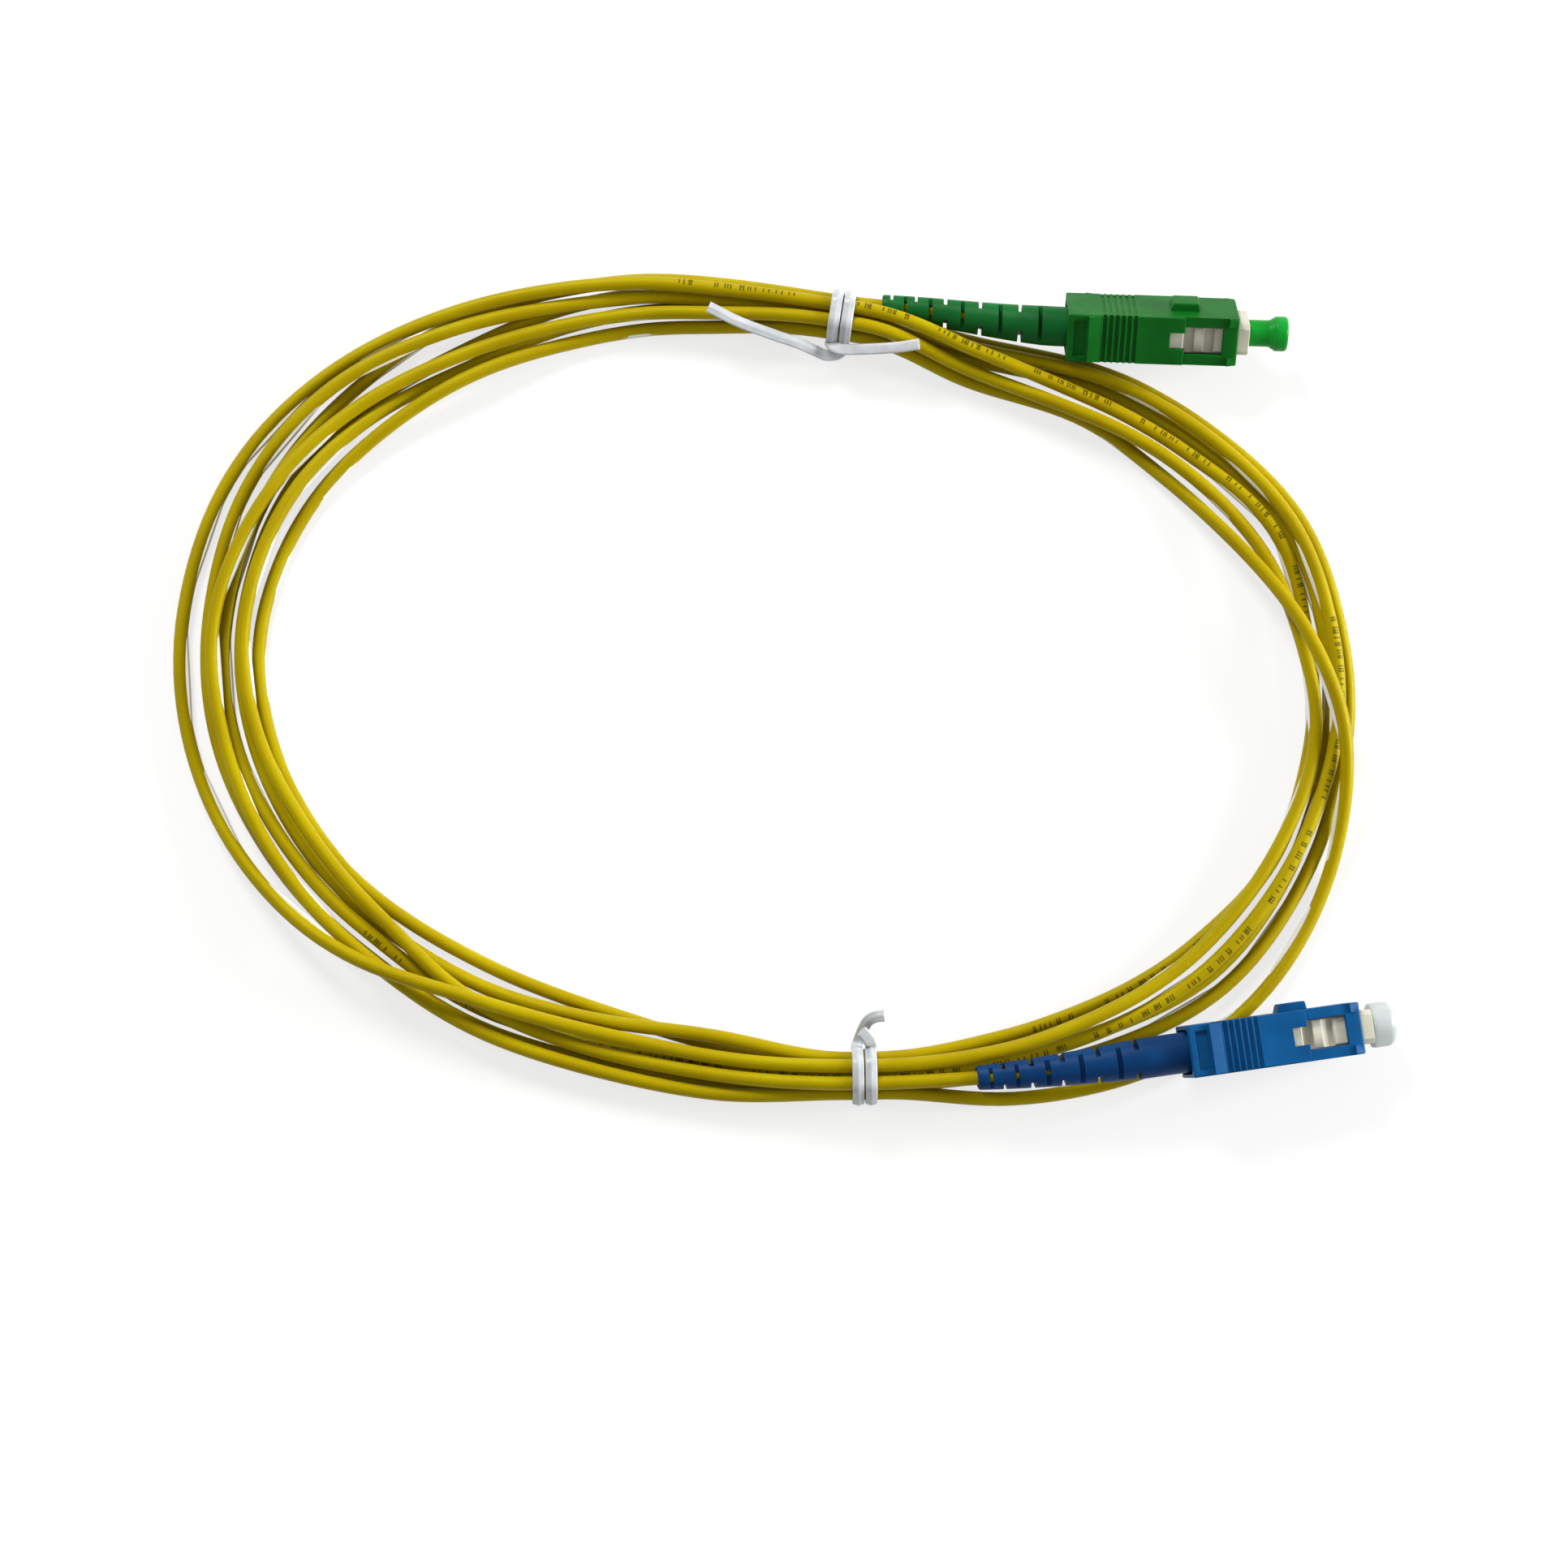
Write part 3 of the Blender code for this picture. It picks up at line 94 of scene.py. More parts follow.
class Finish:
    """One procedural material, built up step by step around its main shader."""

    def __init__(self, name):
        self.material = bpy.data.materials.new(name)
        self.material.use_nodes = True
        self.nodes = self.material.node_tree.nodes
        self.shader = self.nodes["Principled BSDF"]
        self.where = self.add("TexCoord")

    def add(self, kind, **sockets):
        """A node; each named value is a number, a colour or another node's output."""
        node = self.nodes.new("ShaderNode" + kind)
        for name, value in sockets.items():
            self.feed(value, node.inputs[name])
        return node

    def feed(self, value, socket):
        if isinstance(value, bpy.types.NodeSocket):
            self.material.node_tree.links.new(value, socket)
        else:
            socket.default_value = value

    def body(self, sockets):
        """Sets or links the main shader's own sockets."""
        for name, value in sockets.items():
            self.feed(value, self.shader.inputs[name])

    def maths(self, operation, *values):
        node = self.add("Math")
        node.operation = operation
        for value, socket in zip(values, node.inputs):
            self.feed(value, socket)
        return node.outputs[0]

    def noise(self, vector, scale, detail=3.0, rough=0.5):
        return self.add("TexNoise", Vector=vector, Scale=scale, Detail=detail, Roughness=rough).outputs["Fac"]

    def ramp(self, value, stops):
        node = self.add("ValToRGB", Fac=value)
        ends = node.color_ramp.elements
        for end, (position, colour) in zip((ends[0], ends[1]), (stops[0], stops[-1])):
            end.position = position
            end.color = (*colour, 1)
        for position, colour in stops[1:-1]:
            ends.new(position).color = (*colour, 1)
        return node.outputs["Color"]

    def stretched(self, vector, scale):
        return self.add("Mapping", Vector=vector, Scale=scale).outputs["Vector"]

    def bump(self, height, strength, distance):
        node = self.add("Bump", Height=height, Strength=strength, Distance=distance)
        self.feed(node.outputs["Normal"], self.shader.inputs["Normal"])


paint = Finish("pale_floor")
paint.body({"Base Color": (0.68, 0.68, 0.67, 1), "Roughness": 0.8})
white = paint.add("Emission", Color=(1, 1, 1, 1), Strength=1.2)
rays = paint.add("LightPath")
seen = paint.maths("MAXIMUM", rays.outputs["Is Camera Ray"], rays.outputs["Is Glossy Ray"])
# near the hank the floor keeps its shadow; further out it runs into plain white
away = paint.add("VectorMath")
away.operation = "LENGTH"
paint.feed(paint.where.outputs["Object"], away.inputs[0])
whiter = paint.add("MapRange", Value=away.outputs["Value"])
for name, value in zip(("From Min", "From Max", "To Min", "To Max"), (*FLOOR_FADE, *FLOOR_WHITE)):
    whiter.inputs[name].default_value = value
mix = paint.add("MixShader", Fac=paint.maths("MULTIPLY", seen, whiter.outputs["Result"]))
paint.feed(paint.shader.outputs["BSDF"], mix.inputs[1])
paint.feed(white.outputs["Emission"], mix.inputs[2])
paint.feed(mix.outputs["Shader"], paint.nodes["Material Output"].inputs["Surface"])
floor.data.materials.append(paint.material)

world = bpy.data.worlds.new("studio")
bpy.context.scene.world = world
world.use_nodes = True
nodes, links = world.node_tree.nodes, world.node_tree.links
sky = nodes["Background"]
sky.inputs["Color"].default_value = (1.0, 1.0, 1.0, 1)
sky.inputs["Strength"].default_value = 0.44
backdrop = nodes.new("ShaderNodeBackground")
backdrop.inputs["Color"].default_value = (1, 1, 1, 1)
backdrop.inputs["Strength"].default_value = 1.0
world_mix = nodes.new("ShaderNodeMixShader")
links.new(nodes.new("ShaderNodeLightPath").outputs["Is Camera Ray"], world_mix.inputs["Fac"])
links.new(sky.outputs["Background"], world_mix.inputs[1])
links.new(backdrop.outputs["Background"], world_mix.inputs[2])
links.new(world_mix.outputs["Shader"], nodes["World Output"].inputs["Surface"])


def soft_lamp(name, place, power, colour):
    lamp = bpy.data.objects.new(name, bpy.data.lights.new(name, "AREA"))
    lamp.data.shape = "DISK"
    lamp.data.size = 0.30
    lamp.data.energy = power
    lamp.data.color = colour
    lamp.location = place
    lamp.rotation_euler = (-Vector(place)).to_track_quat("-Z", "Y").to_euler()
    bpy.context.scene.collection.objects.link(lamp)


soft_lamp("window", (-0.28, 0.60, 0.52), 5.8, (1.0, 0.99, 0.97))
soft_lamp("side_window", (0.76, 0.08, 0.22), 8.5, (1.0, 1.0, 1.0))
bpy.context.scene.view_settings.view_transform = "Standard"

# ---------------------------------------------------------------- yellow cord
# One 2 mm single-mode cord: extruded PVC over aramid yarn and a buffered fibre.  It is coiled by
# hand into six and a half turns, which the two ties squeeze together and let spread between them.
JACKET_D = 2.0
CAD_FLOOR_CUT = 0.2
TURN_Z = JACKET_D / 2 - CAD_FLOOR_CUT
TURN_PITCH = 2.47
ROW_RISE = 2.1
STRAIGHT_AT_TIE = 3.2
TIE_BED = 0.76
# middle line of the hank, counter-clockwise from the top tie; the tenth point is at the bottom tie
MIDDLE_POINTS = ((8.5, 54.6), (-22.2, 57.8), (-49.5, 50.0), (-70.8, 33.2), (-81.7, 10.3), (-80.2, -12.5),
                 (-67.2, -32.9), (-43.6, -47.1), (-14.0, -55.2), (11.5, -57.5), (38.1, -54.3),
                 (60.6, -43.2), (74.8, -23.3), (79.3, -1.7), (71.2, 21.8), (51.1, 41.0), (26.3, 50.6))
BOTTOM_TIE = 9
# places in the bundle under a tie: columns outward, rows upward
SLOTS = {"b1": (-0.5, 0), "b2": (0.5, 0), "m1": (-1.0, 1), "m2": (0.0, 1), "m3": (1.0, 1),
         "t1": (-0.5, 2), "t2": (0.5, 2)}
# each run goes from a slot of one tie to a slot of the other; between them stand its distance
# outward from the middle line and the row it lies in, at stations 1 to 8
LEFT_RUNS = {
    "A": ("m3", "m2", ((2.8, 1), (4.2, 0), (2.6, 0), (0.2, 0), (-1.5, 0), (-2.6, 1), (0.4, 0), (0.0, 0))),
    "B": ("t2", "t1", ((1.2, 2), (4.6, 1), (7.8, 0), (6.3, 0), (4.8, 0), (3.2, 1), (-0.2, 2), (-1.2, 1))),
    "C": ("m2", "b2", ((0.0, 1), (2.5, 1), (5.0, 0), (2.2, 0), (0.7, 0), (0.6, 0), (2.9, 0), (2.4, 0))),
    "D": ("t1", "m3", ((-2.4, 1), (-1.5, 1), (0.9, 1), (1.5, 1), (0.0, 1), (1.0, 1), (3.6, 1), (3.7, 1))),
    "G": ("m1", "b1", ((-4.3, 0), (-4.5, 1), (-4.1, 0), (-4.9, 0), (-5.9, 0), (-6.0, 0), (-5.0, 0),
                       (-2.7, 0))),
    "H": ("b1", "t2", ((-1.6, 0), (-3.2, 0), (-1.7, 1), (-2.9, 1), (-5.0, 1), (-5.5, 1), (0.1, 1),
                       (1.2, 1))),
    "X": ("b2", "m1", ((1.2, 0), (-0.8, 0), (-0.4, 0), (-2.3, 0), (-3.7, 0), (-3.6, 0), (-2.6, 0),
                       (-3.8, 1))),
}
# the same at stations 10 to 16
RIGHT_RUNS = {
    "P": ("m3", "m1", ((5.9, 0), (7.5, 0), (5.6, 0), (0.6, 2), (-3.0, 1), (-3.2, 0), (-3.4, 0))),
    "T": ("b2", "b2", ((1.2, 0), (2.8, 0), (2.8, 0), (2.7, 0), (5.3, 0), (4.0, 0), (1.5, 0))),
    "W": ("b1", "b1", ((-1.5, 0), (0.2, 0), (0.4, 0), (0.0, 0), (2.4, 0), (1.2, 0), (-1.0, 0))),
    "U": ("m2", "m2", ((-0.8, 1), (-0.8, 1), (0.3, 1), (1.3, 1), (3.8, 1), (2.4, 1), (-0.8, 1))),
    "R": ("t1", "t1", ((-2.0, 2), (-3.2, 1), (-2.1, 1), (-1.2, 1), (-1.4, 0), (-4.2, 1), (-3.0, 1))),
    "S": ("m1", "t2", ((-4.2, 0), (-4.6, 0), (-2.0, 0), (-2.4, 0), (0.6, 1), (-2.0, 1), (-0.9, 2))),
}
RUN_ORDER = "AUCTXSBRDPGWH"     # from the green lead, round and round, to the blue lead
LEFT_STEPS = 13
RIGHT_STEPS = 11
SETTLING_ROUNDS = 600
BOOT_L = 34.0
BARREL_END = 24.4               # of a rear body, behind a plug frame's front face
JACKET_BACK = 0.9               # the jacket stops this far behind it
GRIP_L = 25.0
CONNECTORS = {
    "apc": {"rear": (41.5, 52.6, 6.06), "yaw": -2.0, "pitch": 0.0, "key_lift": 38.0, "frame_out": 2.4,
            "key_z": 14.8, "boot_in": 7.0, "bend": (2.75, -1.95), "tip_slope": (0.06, 0.0)},
    "upc": {"rear": (57.05, -54.4, 6.95), "yaw": 8.4, "pitch": -4.0, "key_lift": 5.0, "frame_out": 1.8,
            "key_z": 13.5, "boot_in": 4.0, "bend": (0.75, -2.55), "tip_slope": (0.08, -0.11)},
}


def bend_through(p0, p1, p2, p3, t):
    """From the second point to the third, on a smooth line through all four."""
    return 0.5 * (2 * p1 + (p2 - p0) * t + (2 * p0 - 5 * p1 + 4 * p2 - p3) * t ** 2
                  + (3 * p1 - p0 - 3 * p2 + p3) * t ** 3)


def closed_curve(points, steps):
    """Smooth closed line through the points."""
    points = np.array(points, float)
    count = len(points)
    out = []
    for i in range(count):
        four = points[i - 1], points[i], points[(i + 1) % count], points[(i + 2) % count]
        out += [bend_through(*four, k / steps) for k in range(steps)]
    return np.array(out)


class MiddleLine:
    """The hank's middle line, measured along its length."""

    def __init__(self, points, steps=200):
        curve = closed_curve(points, steps)
        self.curve = np.vstack([curve, curve[:1]])
        leg = np.linalg.norm(np.diff(self.curve, axis=0), axis=1)
        self.along = np.r_[0.0, np.cumsum(leg)]
        self.length = self.along[-1]
        self.stations = [self.along[i * steps] for i in range(len(points))] + [self.length]

    def point(self, s):
        s = np.mod(s, self.length)
        return np.c_[np.interp(s, self.along, self.curve[:, 0]), np.interp(s, self.along, self.curve[:, 1])]

    def outward(self, s):
        heading = self.point(s + 2.0) - self.point(s - 2.0)
        heading /= np.linalg.norm(heading, axis=1)[:, None]
        return np.c_[heading[:, 1], -heading[:, 0]]

    def place(self, s, offsets):
        """World points from places along the line and (outward, height) pairs."""
        s = np.atleast_1d(np.asarray(s, float))
        offsets = np.atleast_2d(offsets)
        flat = self.point(s) + self.outward(s) * offsets[:, :1]
        return np.c_[flat, offsets[:, 1]]


def slot_place(name):
    column, row = SLOTS[name]
    height = JACKET_D / 2 + TIE_BED + row * TURN_PITCH * math.sqrt(3) / 2
    return np.array([column * TURN_PITCH, height])


def cubic_between(xs, ys, x, flat_ends=False):
    """Cubic through (xs, ys) that keeps its slope through each station, with or without one at the ends."""
    slope = np.gradient(ys, xs, axis=0)
    if flat_ends:
        slope[[0, -1]] = 0
    i = np.clip(np.searchsorted(xs, x, side="right") - 1, 0, len(xs) - 2)
    h = (xs[i + 1] - xs[i])[:, None]
    t = (x - xs[i])[:, None] / h
    return ((2 * t ** 3 - 3 * t ** 2 + 1) * ys[i] + (t ** 3 - 2 * t ** 2 + t) * h * slope[i]
            + (3 * t ** 2 - 2 * t ** 3) * ys[i + 1] + (t ** 3 - t ** 2) * h * slope[i + 1])


def half_grid(s0, s1, steps):
    inner = np.linspace(s0 + STRAIGHT_AT_TIE, s1 - STRAIGHT_AT_TIE, steps + 1)
    return np.r_[s0, inner, s1]


def first_guess(runs, stations, grid):
    places = []
    knots = np.array([stations[0], stations[0] + STRAIGHT_AT_TIE, *stations[1:-1],
                      stations[-1] - STRAIGHT_AT_TIE, stations[-1]])
    for start, end, offsets in runs.values():
        row = [slot_place(start)] * 2
        row += [np.array([u, TURN_Z + r * ROW_RISE]) for u, r in offsets]
        row += [slot_place(end)] * 2
        path = cubic_between(knots, np.array(row), grid, flat_ends=True)
        path[:2] = slot_place(start)
        path[-2:] = slot_place(end)
        places.append(path)
    return np.array(places)


def settle(places):
    """Push crossing turns apart until each pair keeps its pitch, as a hank settles."""
    wanted = places.copy()
    one, two = np.triu_indices(len(places), 1)
    for step in range(SETTLING_ROUNDS):
        push = np.zeros_like(places)
        for t in np.linspace(0, 1, 5, endpoint=False):
            now = (1 - t) * places[:, :-1] + t * places[:, 1:]
            apart = now[two] - now[one]
            gap = np.linalg.norm(apart, axis=2) + 1e-9
            force = apart / gap[..., None] * np.clip(TURN_PITCH - gap, 0, None)[..., None] * 0.25
            for sign, which in ((-1, one), (1, two)):
                np.add.at(push[:, :-1], which, sign * force * (1 - t))
                np.add.at(push[:, 1:], which, sign * force * t)
        places[:, 2:-2] += push[:, 2:-2]
        if step < SETTLING_ROUNDS * 0.85:
            moved = places - wanted
            bend = moved[:, 1:-3] - 2 * moved[:, 2:-2] + moved[:, 3:-1]
            places[:, 2:-2] += 0.12 * bend - 0.05 * moved[:, 2:-2]
        places[:, 2:-2, 1] = np.maximum(places[:, 2:-2, 1], TURN_Z)
    return places


def hermite(p0, d0, p1, d1, t):
    t = np.asarray(t)[:, None]
    return ((2 * t ** 3 - 3 * t ** 2 + 1) * p0 + (t ** 3 - 2 * t ** 2 + t) * d0
            + (3 * t ** 2 - 2 * t ** 3) * p1 + (t ** 3 - t ** 2) * d1)


def boot_bend(spec, back):
    """Sideways and downward shift of a boot's middle line, this far behind the grip."""
    length = BOOT_L - spec["boot_in"]
    t = np.clip(np.asarray(back, float) / length, 0, 1)
    shift = []
    for amount, slope in zip(spec["bend"], spec["tip_slope"]):
        shift.append(amount * (3 * t ** 2 - 2 * t ** 3) + slope * length * (t ** 3 - t ** 2))
    return shift


def connector_matrix(spec):
    """Local axes: Z to the mating end, Y to the key."""
    yaw, pitch, lift = (math.radians(spec[k]) for k in ("yaw", "pitch", "key_lift"))
    forward = Vector((math.cos(pitch) * math.cos(yaw), math.cos(pitch) * math.sin(yaw), math.sin(pitch)))
    level = Vector((0, 0, 1)).cross(forward).normalized()
    upward = forward.cross(level)
    key = level * math.cos(lift) + upward * math.sin(lift)
    across = key.cross(forward)
    turn = Matrix((across, key, forward)).transposed()
    return Matrix.Translation(Vector(spec["rear"])) @ turn.to_4x4()


def lead_points(spec, back_distances):
    """World points on a boot's bent middle line; a negative distance lies inside the grip."""
    frame = connector_matrix(spec)
    back = np.array(back_distances, float)
    side, down = boot_bend(spec, np.maximum(back, 0))
    points = []
    for d, a, b in zip(back, side, down):
        world = frame @ Vector((0, 0, -d)) + Vector((0, a, b))
        points.append(tuple(world))
    return np.array(points)


def lead_from_tie(spec, tie_point, tie_heading, count):
    """Free stretch between a tie and a boot's tip, ends left out."""
    length = BOOT_L - spec["boot_in"]
    tip, inside = lead_points(spec, (length, length - 1.0))
    reach = np.linalg.norm(tip - tie_point)
    tip_heading = (inside - tip) / np.linalg.norm(inside - tip)
    t = np.linspace(0, 1, count + 2)[1:-1]
    return hermite(tie_point, tie_heading * reach, tip, tip_heading * reach, t)


line = MiddleLine(MIDDLE_POINTS)
bottom = line.stations[BOTTOM_TIE]
STEP_BETWEEN = 9                # fine steps between two stations of the settled hank
halves = []
for runs, stations, steps in ((LEFT_RUNS, line.stations[:BOTTOM_TIE + 1], LEFT_STEPS),
                              (RIGHT_RUNS, line.stations[BOTTOM_TIE:], RIGHT_STEPS)):
    grid = half_grid(stations[0], stations[-1], steps)
    places = settle(first_guess(runs, np.array(stations), grid))
    fine_grid = np.unique(np.concatenate([np.linspace(a, b, (STEP_BETWEEN if b - a > 5 else 3) + 1)
                                          for a, b in zip(grid[:-1], grid[1:])]).round(9))
    half = {}
    for name, row in zip(runs, places):
        fine = cubic_between(grid, row, fine_grid)
        fine[:, 1] = np.maximum(fine[:, 1], TURN_Z)
        half[name] = line.place(fine_grid, fine)
    halves.append(half)
turns = [halves[i % 2][name] if i == 0 else halves[i % 2][name][1:] for i, name in enumerate(RUN_ORDER)]
turns = np.vstack(turns)

leads = []
for key in ("apc", "upc"):
    spec = CONNECTORS[key]
    jacket_end = -(GRIP_L + spec["frame_out"] - BARREL_END - JACKET_BACK)
    reach = BOOT_L - spec["boot_in"]
    leads.append(lead_points(spec, np.linspace(jacket_end, reach, 27)))
first_heading = (turns[0] - turns[1]) / np.linalg.norm(turns[0] - turns[1])
last_heading = (turns[-1] - turns[-2]) / np.linalg.norm(turns[-1] - turns[-2])
green_free = lead_from_tie(CONNECTORS["apc"], turns[0], first_heading, 5)[::-1]
blue_free = lead_from_tie(CONNECTORS["upc"], turns[-1], last_heading, 12)
cord_path = np.vstack([leads[0], green_free, turns, blue_free, leads[1][::-1]])
cord_path = cord_path * MM + np.array(HANK_SHIFT)


def ring_frames(path, rise=(0.0, 0.0, 1.0)):
    """Side and up at each point of a line."""
    heading = np.gradient(path, axis=0)
    heading /= np.linalg.norm(heading, axis=1)[:, None]
    side = np.cross(heading, rise)
    side /= np.linalg.norm(side, axis=1)[:, None]
    return side, np.cross(side, heading)


def skin_from_rings(name, rings, closed_ends=True):
    """Mesh of quads over rows of points, with the length along it and the share round it as its UV."""
    count, sides = rings.shape[:2]
    along = np.r_[0, np.cumsum(np.linalg.norm(np.diff(rings.mean(axis=1), axis=0), axis=1))]
    faces = []
    places = []
    for i in range(count - 1):
        for k in range(sides):
            m = (k + 1) % sides
            faces.append((i * sides + k, i * sides + m, (i + 1) * sides + m, (i + 1) * sides + k))
            places += [(along[i], k / sides), (along[i], (k + 1) / sides),
                       (along[i + 1], (k + 1) / sides), (along[i + 1], k / sides)]
    if closed_ends:
        faces.append(tuple(range(sides))[::-1])
        faces.append(tuple((count - 1) * sides + k for k in range(sides)))
        places += [(along[0], 0.0)] * sides + [(along[-1], 0.0)] * sides
    mesh = bpy.data.meshes.new(name)
    mesh.from_pydata(rings.reshape(-1, 3).tolist(), [], faces)
    layer = mesh.uv_layers.new(name="along")
    for loop, place in zip(layer.data, places):
        loop.uv = place
    for face in mesh.polygons:
        face.use_smooth = len(face.vertices) == 4
    obj = bpy.data.objects.new(name, mesh)
    bpy.context.scene.collection.objects.link(obj)
    return obj


SKIN_SIDES = 20
side, up = ring_frames(cord_path)
angles = -math.pi / 2 + 2 * math.pi * np.arange(SKIN_SIDES) / SKIN_SIDES
radius = JACKET_D / 2 * MM
rings = (cord_path[:, None] + side[:, None] * (radius * np.cos(angles))[None, :, None]
         + up[:, None] * (radius * np.sin(angles))[None, :, None])
rings[..., 2] = np.maximum(rings[..., 2], 0.0)
jacket = skin_from_rings("yellow_jacket", rings)

pvc = Finish("yellow_pvc_jacket")
# slow changes of the extruded colour, and handling marks
mottle = pvc.noise(pvc.where.outputs["Object"], 60.0)
yellow = pvc.ramp(mottle, ((0.30, (0.336, 0.238, 0.0004)), (0.50, (0.384, 0.282, 0.0005)),
                           (0.72, (0.436, 0.336, 0.0009))))
INK = (0.050, 0.030, 0.004, 1)
# ink-jet marks along one side of the jacket, a metre apart: short strokes in groups, which spell nothing
LEGEND_START = 0.205
LEGEND_SPACING = 1.0
LEGEND_L = 0.192
MARK_PITCH = 0.0019
INK_SIDE = 0.44                 # share of the way round, from the underside
TWIST_START = 1.45              # metres along, from where the cord turns about itself
TWIST = 0.6                     # turns in each metre from there on
sums = pvc.maths
spot = pvc.add("SeparateXYZ", Vector=pvc.where.outputs["UV"])
along, round_cord = spot.outputs["X"], spot.outputs["Y"]
cells = sums("DIVIDE", along, MARK_PITCH)
cell = sums("FRACT", cells)
number = sums("FLOOR", cells)


def chance(offset):
    node = pvc.add("TexWhiteNoise")
    node.noise_dimensions = "1D"
    pvc.feed(sums("ADD", number, offset), node.inputs["W"])
    return node.outputs["Value"]


def near(value, middle, reach):
    """1 where the value is within this reach of the middle."""
    return sums("LESS_THAN", sums("ABSOLUTE", sums("SUBTRACT", value, middle)), reach)


r1, r2, r3 = chance(0.0), chance(37.0), chance(91.0)
twist = sums("MULTIPLY", sums("MAXIMUM", sums("SUBTRACT", along, TWIST_START), 0.0), TWIST)
off_side = sums("SUBTRACT", round_cord, sums("ADD", twist, INK_SIDE))
ink = near(cell, sums("MULTIPLY_ADD", r1, 0.10, 0.16), 0.062)
for middle, present, above in ((0.40, r2, 0.35), (0.62, r3, 0.45), (0.82, r1, 0.72)):
    ink = sums("MAXIMUM", ink, sums("MULTIPLY", near(cell, middle, 0.058), sums("GREATER_THAN", present, above)))
knot = sums("MULTIPLY", near(cell, 0.34, 0.19), near(off_side, sums("MULTIPLY_ADD", r3, 0.10, -0.05), 0.020))
ink = sums("MAXIMUM", ink, sums("MULTIPLY", knot, sums("GREATER_THAN", r2, 0.6)))
groups = sums("GREATER_THAN", sums("FRACT", sums("MULTIPLY", number, 0.1161)), 0.2)
from_legend = sums("DIVIDE", sums("SUBTRACT", along, LEGEND_START), LEGEND_SPACING)
printed = sums("LESS_THAN", sums("FRACT", from_legend), LEGEND_L / LEGEND_SPACING)
for share in (near(off_side, 0.0, sums("MULTIPLY_ADD", r2, 0.035, 0.055)), groups, printed, 0.85):
    ink = sums("MULTIPLY", ink, share)
colour = pvc.add("Mix")
colour.data_type = "RGBA"
for socket, value in (("Factor", ink), ("A", yellow), ("B", INK)):
    pvc.feed(value, colour.inputs[socket])
gloss = sums("MULTIPLY", pvc.noise(pvc.where.outputs["Object"], 900.0, 2.0), 0.16)
pvc.body({"Metallic": 0.0, "Specular IOR Level": 0.42, "Specular Tint": (0.72, 0.95, 0.06, 1),
          "Subsurface Weight": 0.65, "Subsurface Radius": (0.0028, 0.0010, 0.0001),
          "Base Color": colour.outputs["Result"], "Roughness": sums("ADD", gloss, 0.42)})
draw_lines = pvc.stretched(pvc.where.outputs["UV"], (160.0, 26.0, 1.0))
pvc.bump(pvc.noise(draw_lines, 3.0), 0.18, 0.00006)
jacket.data.materials.append(pvc.material)
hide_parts("cord_jacket")
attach(jacket, "cord_and_plugs")

# ---------------------------------------------------------------- twist ties
# Two strips of soft white plastic with a wire down the middle.  Each goes round the bundle twice,
# crosses itself on the inner side and ends in free tails, cut square.
TIE_WIDTH = 1.7
TIE_THICK = 0.42
TIE_CLEAR = 0.22
TIE_PITCH = 1.86                # from one round to the next
TIE_CORE = 0.15                 # rise of the ridge over the wire
TIE_LOOP_STEPS = 8              # points round each jacket that the strip passes, and between two of a tail's
# a tail's points: outward from the bundle's middle, along it, and up from the floor
TOP_TAIL_LEFT = ((-4.02, -1.05, 3.65), (-4.5, -0.9, 3.0), (-5.25, -0.2, 2.6), (-5.7, 1.5, 2.9),
                 (-5.45, 3.3, 3.8), (-5.0, 5.8, 4.7), (-4.55, 9.7, 5.7), (-3.7, 14.8, 6.7), (-2.35, 19.5, 7.6))
TOP_TAIL_RIGHT = ((-3.8, 1.05, 3.3), (-4.4, 0.9, 4.3), (-4.95, 0.1, 4.9), (-5.05, -1.0, 5.0),
                  (-4.75, -3.4, 5.3), (-4.3, -6.3, 5.7), (-3.8, -9.3, 6.4), (-3.1, -12.0, 7.0))
BOTTOM_TAIL_LONG = ((-4.02, -1.05, 3.65), (-4.5, -0.9, 3.1), (-5.2, -0.65, 3.15), (-6.1, -0.3, 3.9),
                    (-7.0, 0.15, 5.0), (-7.8, 0.8, 6.0), (-8.2, 1.8, 6.7), (-8.3, 3.0, 7.1))
BOTTOM_TAIL_SHORT = ((-3.8, 1.05, 3.3), (-4.45, 0.95, 4.6), (-5.1, 0.6, 5.6), (-5.7, 0.15, 6.1), (-6.2, -0.35, 6.5))


def open_curve(points, steps):
    """Smooth open line through the points."""
    points = np.array(points, float)
    ends = np.vstack([2 * points[0] - points[1], points, 2 * points[-1] - points[-2]])
    out = []
    for i in range(1, len(ends) - 2):
        out += [bend_through(*ends[i - 1:i + 3], k / steps) for k in range(steps)]
    out.append(points[-1])
    return out


def bundle_outline(offset, arc_steps):
    """Line round the seven jackets in a tie, this far outside their middles."""
    centres = [slot_place(name) for name in ("m1", "t1", "t2", "m3", "b2", "b1")]
    out = []
    for i, centre in enumerate(centres):
        before = centre - centres[i - 1]
        after = centres[(i + 1) % len(centres)] - centre
        a0 = math.atan2(before[0], -before[1])
        a1 = math.atan2(after[0], -after[1])
        while a1 > a0:
            a1 -= 2 * math.pi
        for k in range(arc_steps + 1):
            a = a0 + (a1 - a0) * k / arc_steps
            out.append((centre[0] + offset * math.cos(a), centre[1] + offset * math.sin(a)))
    return np.array(out)


def smooth_step(t):
    t = min(max(t, 0.0), 1.0)
    return t * t * (3 - 2 * t)


